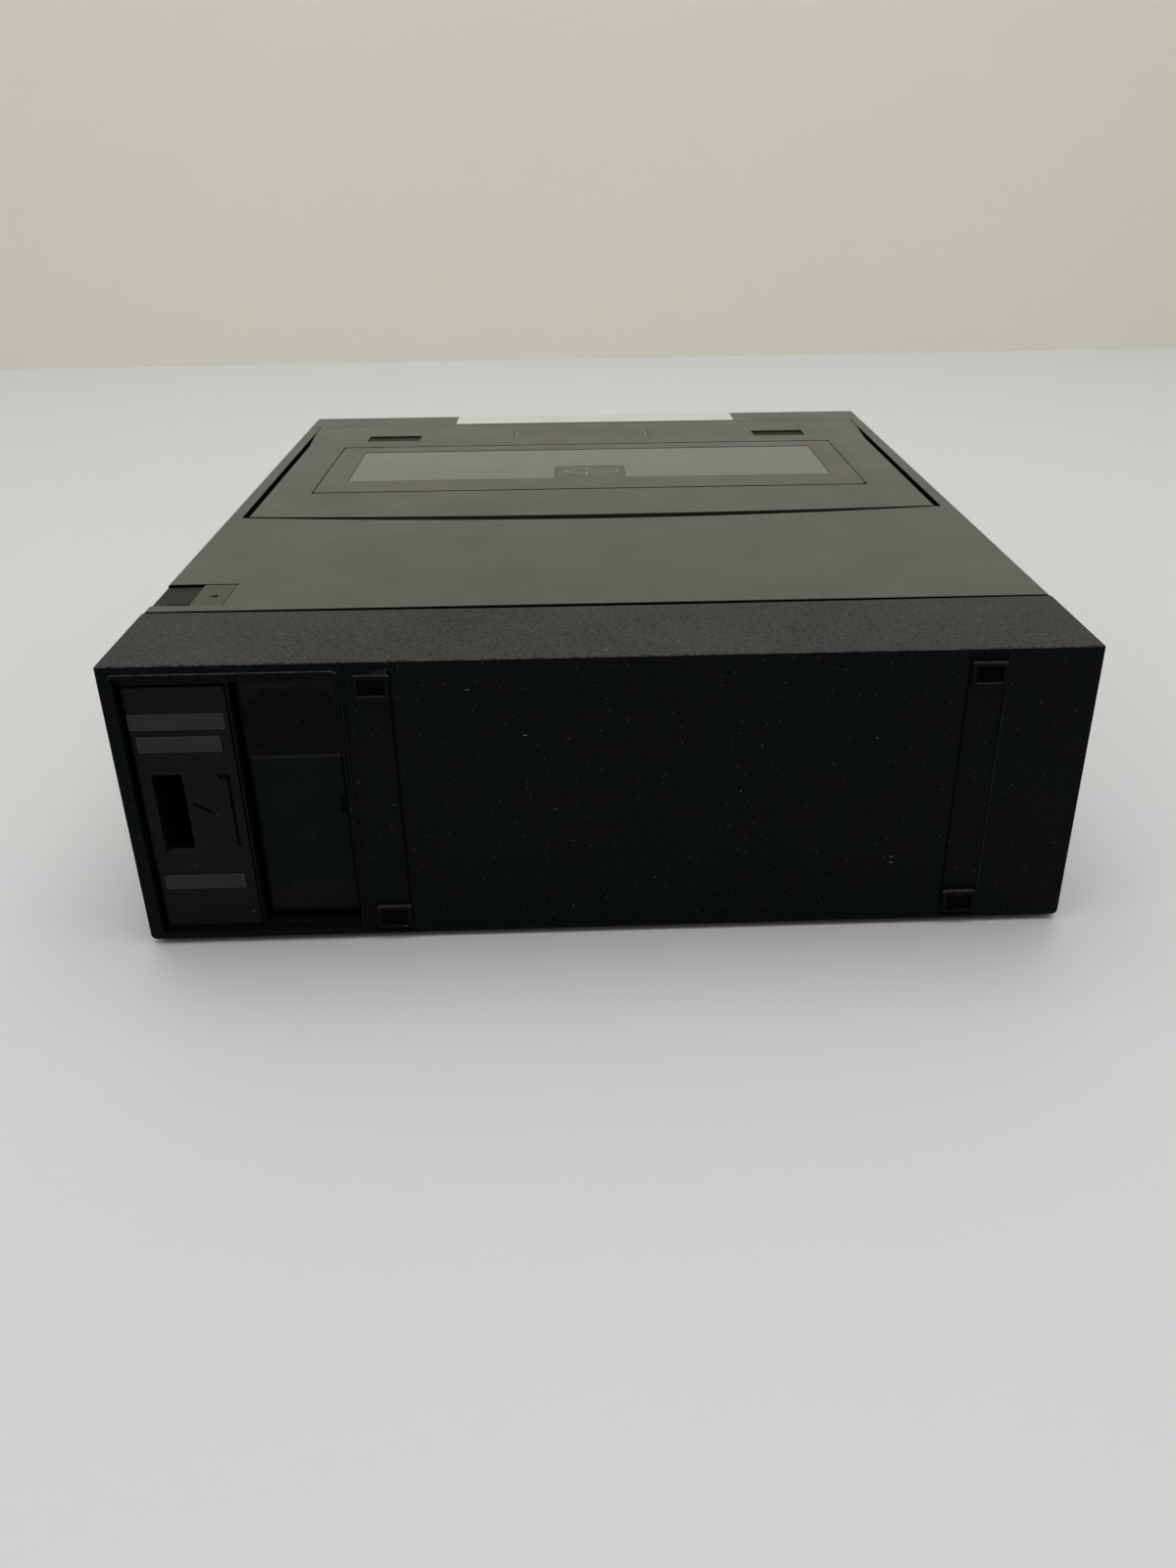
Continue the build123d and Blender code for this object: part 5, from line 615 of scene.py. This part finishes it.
SWITCH_LO, SWITCH_HI = limits("power_switch")
PANEL_Y = limits("front_panel")[1].y
SWITCH_Z = (SWITCH_LO.z + SWITCH_HI.z) / 2
mark("switch_on_sign", [rectangle(0, 0, 0.5, 2.4)],
     Vector((SWITCH_LO.x - 1.5, PANEL_Y, SWITCH_Z)), -RIGHT, UP, "front_panel", MARK_PALE)
mark("switch_off_sign", stroke(disc(0, 0, 1.1), 0.4),
     Vector((SWITCH_HI.x + 1.5, PANEL_Y, SWITCH_Z)), -RIGHT, UP, "front_panel", MARK_PALE)

ARROW_TIP, ARROW_NECK, ARROW_END = -9.9, -1.5, 9.6
ARROW_Y, ARROW_HALF, SHAFT_HALF = 39.0, 5.4, 2.0
mark("insert_arrow", stroke([(ARROW_TIP, 0), (ARROW_NECK, -ARROW_HALF), (ARROW_NECK, -SHAFT_HALF),
                             (ARROW_END, -SHAFT_HALF), (ARROW_END, SHAFT_HALF),
                             (ARROW_NECK, SHAFT_HALF), (ARROW_NECK, ARROW_HALF)], 0.5),
     Vector((0, ARROW_Y, TOP)), RIGHT, AWAY, "window_bezel", MARK_PALE)

BADGE_LO, BADGE_HI = limits("lid_badge")
BADGE_MIDDLE = (BADGE_LO + BADGE_HI) / 2
BADGE_LINE = 0.9        # from the badge's edge to its frame line
mark("badge_line", stroke(rectangle(0, 0, BADGE_HI.x - BADGE_LO.x - 2 * BADGE_LINE,
                                    BADGE_HI.y - BADGE_LO.y - 2 * BADGE_LINE), 0.3),
     Vector((BADGE_MIDDLE.x, BADGE_MIDDLE.y, BADGE_HI.z)), RIGHT, AWAY, "lid_badge", MARK_PALE)

SLIDER_SIGN_X, SLIDER_SIGN_Y = -104.4, -95.8
mark("slider_sign", [[(-1.5, -0.3), (0.9, -0.9), (0.9, 1.0)]],
     Vector((SLIDER_SIGN_X, SLIDER_SIGN_Y, KNOB_HI.z)), RIGHT, AWAY,
     "battery_slider", MARK_DARK, proud=0.03)

DOOR_FACE = DOOR_LO.y + 0.2
DOOR_ARROW_TIP, DOOR_ARROW_END = (-102.6, 40.6), (-98.5, 38.1)
mark("door_arrow", [*stroke([DOOR_ARROW_TIP, DOOR_ARROW_END], 0.45, closed=False),
                    triangle(DOOR_ARROW_TIP[0] - 0.1, DOOR_ARROW_TIP[1], 0.7, 149)],
     Vector((0, DOOR_FACE, 0)), RIGHT, UP, "connector_door", MARK_DARK, proud=0.03)


# Left, right, lower and upper edges of the bare plates on the door.
PLATES = {"upper": (-115.0, -92.0, 61.3, 65.5), "middle": (-113.85, -93.7, 55.35, 59.5),
          "lower": (-113.75, -93.5, 16.3, 20.35)}
RIM = 0.22
# Each plate's rim is a painted highlight line.
for place, (left, right, low, high) in PLATES.items():
    middle = rectangle((left + right) / 2, (low + high) / 2, right - left - RIM, high - low - RIM)
    mark(place + "_plate_rim_highlight", stroke(middle, RIM),
         Vector((0, DOOR_LO.y, 0)), RIGHT, UP, "connector_door", PAINTED_EDGE_HIGHLIGHT, proud=0.02, sunk=0.05)

CHANNEL_FLOOR = CAP_LO.y + 1.4
CHANNEL_NEAR = (-51.3, 87.4)    # channel edges that lie nearer the middle
CHANNEL_LINE = 0.7
CHANNEL_MIDDLE_Z, CHANNEL_LENGTH = 39.5, 61
# A thin painted shadow along each channel's near edge, where its floor lies in shade.
for side, near_x in zip((-1, 1), CHANNEL_NEAR):
    mark(("left" if side < 0 else "right") + "_channel_shadow_line",
         [rectangle(near_x + side * CHANNEL_LINE / 2, CHANNEL_MIDDLE_Z, CHANNEL_LINE, CHANNEL_LENGTH)],
         Vector((0, CHANNEL_FLOOR, 0)), RIGHT, UP, "rear_cap", PAINTED_GAP_SHADE, proud=0.03)


# ---------------------------------------------------------------- battery film
def steps(low, high, count, *fixed):
    """Even steps that also stop at the fixed places."""
    even = [low + (high - low) * i / count for i in range(count + 1)]
    kept = [e for e in even if all(abs(e - f) > 0.25 for f in fixed)]
    return sorted(kept + list(fixed))


NOTCH_X = (-67.2, -66.1)
NOTCH_Z = (35.8, 40.2)
FILM_IN = 0.45          # film's edge from the pack's sides
FILM_TUCK = 0.4         # how far its rim goes into the pack
FILM_COLUMNS, FILM_ROWS = 44, 130


def film_height(x, z):
    """How far the film stands off the pack's end, in millimetres."""
    edge = min(x - PACK_LO.x, PACK_HI.x - x, z - PACK_LO.z, PACK_HI.z - z) - FILM_IN
    ledge_z = LEDGE_Z / MM + 0.25 * math.sin((x - PACK_LO.x) / 7)
    lower = min(1.0, max(0.0, (ledge_z - z) / 0.35 + 0.5))
    creased = field.noise(Vector((x * 0.9, z * 0.16, 3.0)))
    near_side = math.exp(-max(0.0, min(x - PACK_LO.x, PACK_HI.x - x) - FILM_IN) / 1.6)
    loose = field.noise(Vector((x * 0.28, z * 0.22, 8.0))) * (1 - lower)
    height = 0.16 + LEDGE * lower + 0.26 * creased * near_side + 0.16 * loose
    seam = 0.08 * math.exp(-((z - FILM_SEAM_Z) / SEAM_HALF) ** 2)
    return max(0.03, height + seam) * min(1.0, 0.25 + edge / 0.8)


def battery_film():
    xs = steps(PACK_LO.x + FILM_IN, PACK_HI.x - FILM_IN, FILM_COLUMNS, *NOTCH_X)
    zs = steps(PACK_LO.z + FILM_IN, PACK_HI.z - FILM_IN, FILM_ROWS, *NOTCH_Z,
               LEDGE_Z / MM - 0.2, LEDGE_Z / MM + 0.2)
    bm = bmesh.new()
    rows = [[bm.verts.new(Vector((x, PACK_LO.y - film_height(x, z), z)) * MM) for x in xs]
            for z in zs]
    for j, (low, high) in enumerate(zip(zs, zs[1:])):
        for i, (left, right) in enumerate(zip(xs, xs[1:])):
            in_notch = (NOTCH_X[0] <= left and right <= NOTCH_X[1]
                        and NOTCH_Z[0] <= low and high <= NOTCH_Z[1])
            if not in_notch:
                bm.faces.new((rows[j][i], rows[j][i + 1], rows[j + 1][i + 1], rows[j + 1][i]))
    bmesh.ops.delete(bm, geom=[v for v in bm.verts if not v.link_faces], context="VERTS")
    rim = [e for e in bm.edges if e.is_boundary]
    tucked = bmesh.ops.extrude_edge_only(bm, edges=rim)["geom"]
    for vert in (v for v in tucked if isinstance(v, bmesh.types.BMVert)):
        vert.co.y = (PACK_LO.y + FILM_TUCK) * MM
    bmesh.ops.recalc_face_normals(bm, faces=bm.faces)
    obj = make("battery_film", bm, BODY["battery_pack"], SLOT["battery_pack"], MATS["battery_wrap"])
    obj.data.shade_smooth()
    obj.data.set_sharp_from_angle(angle=math.radians(50))


battery_film()


# ---------------------------------------------------------------- stage
def stage_mat(name, color, rough):
    m = Mat(name)
    col = m.mix(m.ramp(m.noise(3, 3), 0.3, 0.7), shade(color, 0.985), color)
    m.bump(m.noise(40, 3), 0.1 * MM, 0.2)
    return m.done(col, rough)


def flat(name, corners, mat):
    mesh = bpy.data.meshes.new(name)
    mesh.from_pydata(corners, [], [tuple(range(len(corners)))])
    obj = bpy.data.objects.new(name, mesh)
    bpy.context.collection.objects.link(obj)
    paint(obj, mat)


FLOOR = stage_mat("floor", (0.595, 0.605, 0.595), 0.55)
WALL = stage_mat("wall", (0.83, 0.805, 0.70), 0.8)
FLOOR_HALF = 6
WALL_HALF, WALL_HEIGHT = 4, 4
WALL_LEFT_Y, WALL_RIGHT_Y = 0.72, 0.95
flat("floor", [(-FLOOR_HALF, -FLOOR_HALF, 0), (FLOOR_HALF, -FLOOR_HALF, 0),
               (FLOOR_HALF, FLOOR_HALF, 0), (-FLOOR_HALF, FLOOR_HALF, 0)], FLOOR)
flat("wall", [(-WALL_HALF, WALL_LEFT_Y, 0), (WALL_HALF, WALL_RIGHT_Y, 0),
              (WALL_HALF, WALL_RIGHT_Y, WALL_HEIGHT), (-WALL_HALF, WALL_LEFT_Y, WALL_HEIGHT)], WALL)


SKY = (0.95, 0.96, 1.0, 1)
SURROUND = (0.62, 0.62, 0.60, 1)
DIM_LIGHT, FULL_LIGHT = 0.28, 0.46      # strengths from the connector side and from the far side
DIM_AT, FULL_AT = -0.8, 0.4             # where along Y the light's direction reaches them


def studio():
    """Soft light, a little weaker from the connector side; a plain pale surround is seen."""
    world = bpy.data.worlds.new("studio")
    bpy.context.scene.world = world
    world.use_nodes = True
    tree = world.node_tree
    tree.nodes.clear()
    out = tree.nodes.new("ShaderNodeOutputWorld")
    light = tree.nodes.new("ShaderNodeBackground")
    seen = tree.nodes.new("ShaderNodeBackground")
    both = tree.nodes.new("ShaderNodeMixShader")
    coords = tree.nodes.new("ShaderNodeTexCoord")
    split = tree.nodes.new("ShaderNodeSeparateXYZ")
    level = tree.nodes.new("ShaderNodeMapRange")
    path = tree.nodes.new("ShaderNodeLightPath")
    first = tree.nodes.new("ShaderNodeMath")
    second = tree.nodes.new("ShaderNodeMath")
    tree.links.new(coords.outputs["Generated"], split.inputs[0])
    tree.links.new(split.outputs[1], level.inputs["Value"])
    for key, value in zip(("From Min", "From Max", "To Min", "To Max"),
                          (DIM_AT, FULL_AT, DIM_LIGHT, FULL_LIGHT)):
        level.inputs[key].default_value = value
    tree.links.new(level.outputs[0], light.inputs["Strength"])
    light.inputs["Color"].default_value = SKY
    seen.inputs["Color"].default_value = SURROUND
    seen.inputs["Strength"].default_value = 1.0
    first.operation = second.operation = "MAXIMUM"
    tree.links.new(path.outputs["Is Camera Ray"], first.inputs[0])
    tree.links.new(path.outputs["Is Glossy Ray"], first.inputs[1])
    tree.links.new(first.outputs[0], second.inputs[0])
    tree.links.new(path.outputs["Is Transmission Ray"], second.inputs[1])
    tree.links.new(second.outputs[0], both.inputs[0])
    tree.links.new(light.outputs[0], both.inputs[1])
    tree.links.new(seen.outputs[0], both.inputs[2])
    tree.links.new(both.outputs[0], out.inputs[0])


def lamp(name, place, target, size, watts, color=(1, 1, 1)):
    data = bpy.data.lights.new(name, "AREA")
    data.shape = "RECTANGLE"
    data.size, data.size_y = size
    data.energy = watts
    data.color = color
    obj = bpy.data.objects.new(name, data)
    obj.location = place
    obj.rotation_mode = "QUATERNION"
    obj.rotation_quaternion = (Vector(target) - Vector(place)).to_track_quat("-Z", "Y")
    bpy.context.collection.objects.link(obj)


studio()
lamp("overhead", (0.1, 0.1, 1.9), (0, 0.05, 0), (2.4, 1.8), 35)
lamp("side", (-1.6, -0.9, 1.5), (0, 0, 0.05), (1.0, 1.0), 5)

# ---------------------------------------------------------------- camera
YAW, PITCH, ROLL = (math.radians(a) for a in (-1.98, 26.95, -0.48))
FOCAL_PX, CENTRE_U, CENTRE_V = 1247.4, 630.6, 782.7
IMAGE_W, IMAGE_H = 1200, 1600
CAMERA_AT = (-0.0067, -0.4151, 0.1861)
SENSOR = 36
x_axis = Vector((math.cos(YAW), math.sin(YAW), 0))
y_axis = Vector((-math.sin(YAW), math.cos(YAW), 0))
forward = math.cos(PITCH) * y_axis - math.sin(PITCH) * Vector((0, 0, 1))
level_up = math.sin(PITCH) * y_axis + math.cos(PITCH) * Vector((0, 0, 1))
right = math.cos(ROLL) * x_axis + math.sin(ROLL) * level_up
up = -math.sin(ROLL) * x_axis + math.cos(ROLL) * level_up
lens = bpy.data.cameras.new("camera")
lens.sensor_width = SENSOR
lens.lens = FOCAL_PX / IMAGE_H * SENSOR
lens.shift_x = -(CENTRE_U - IMAGE_W / 2) / IMAGE_H
lens.shift_y = (CENTRE_V - IMAGE_H / 2) / IMAGE_H
lens.clip_start = 0.01
camera = bpy.data.objects.new("camera", lens)
bpy.context.collection.objects.link(camera)
turn = Matrix((right, up, -forward)).transposed().to_4x4()
camera.matrix_world = Matrix.Translation(CAMERA_AT) @ turn
bpy.context.scene.camera = camera
bpy.context.scene.view_settings.view_transform = "Standard"
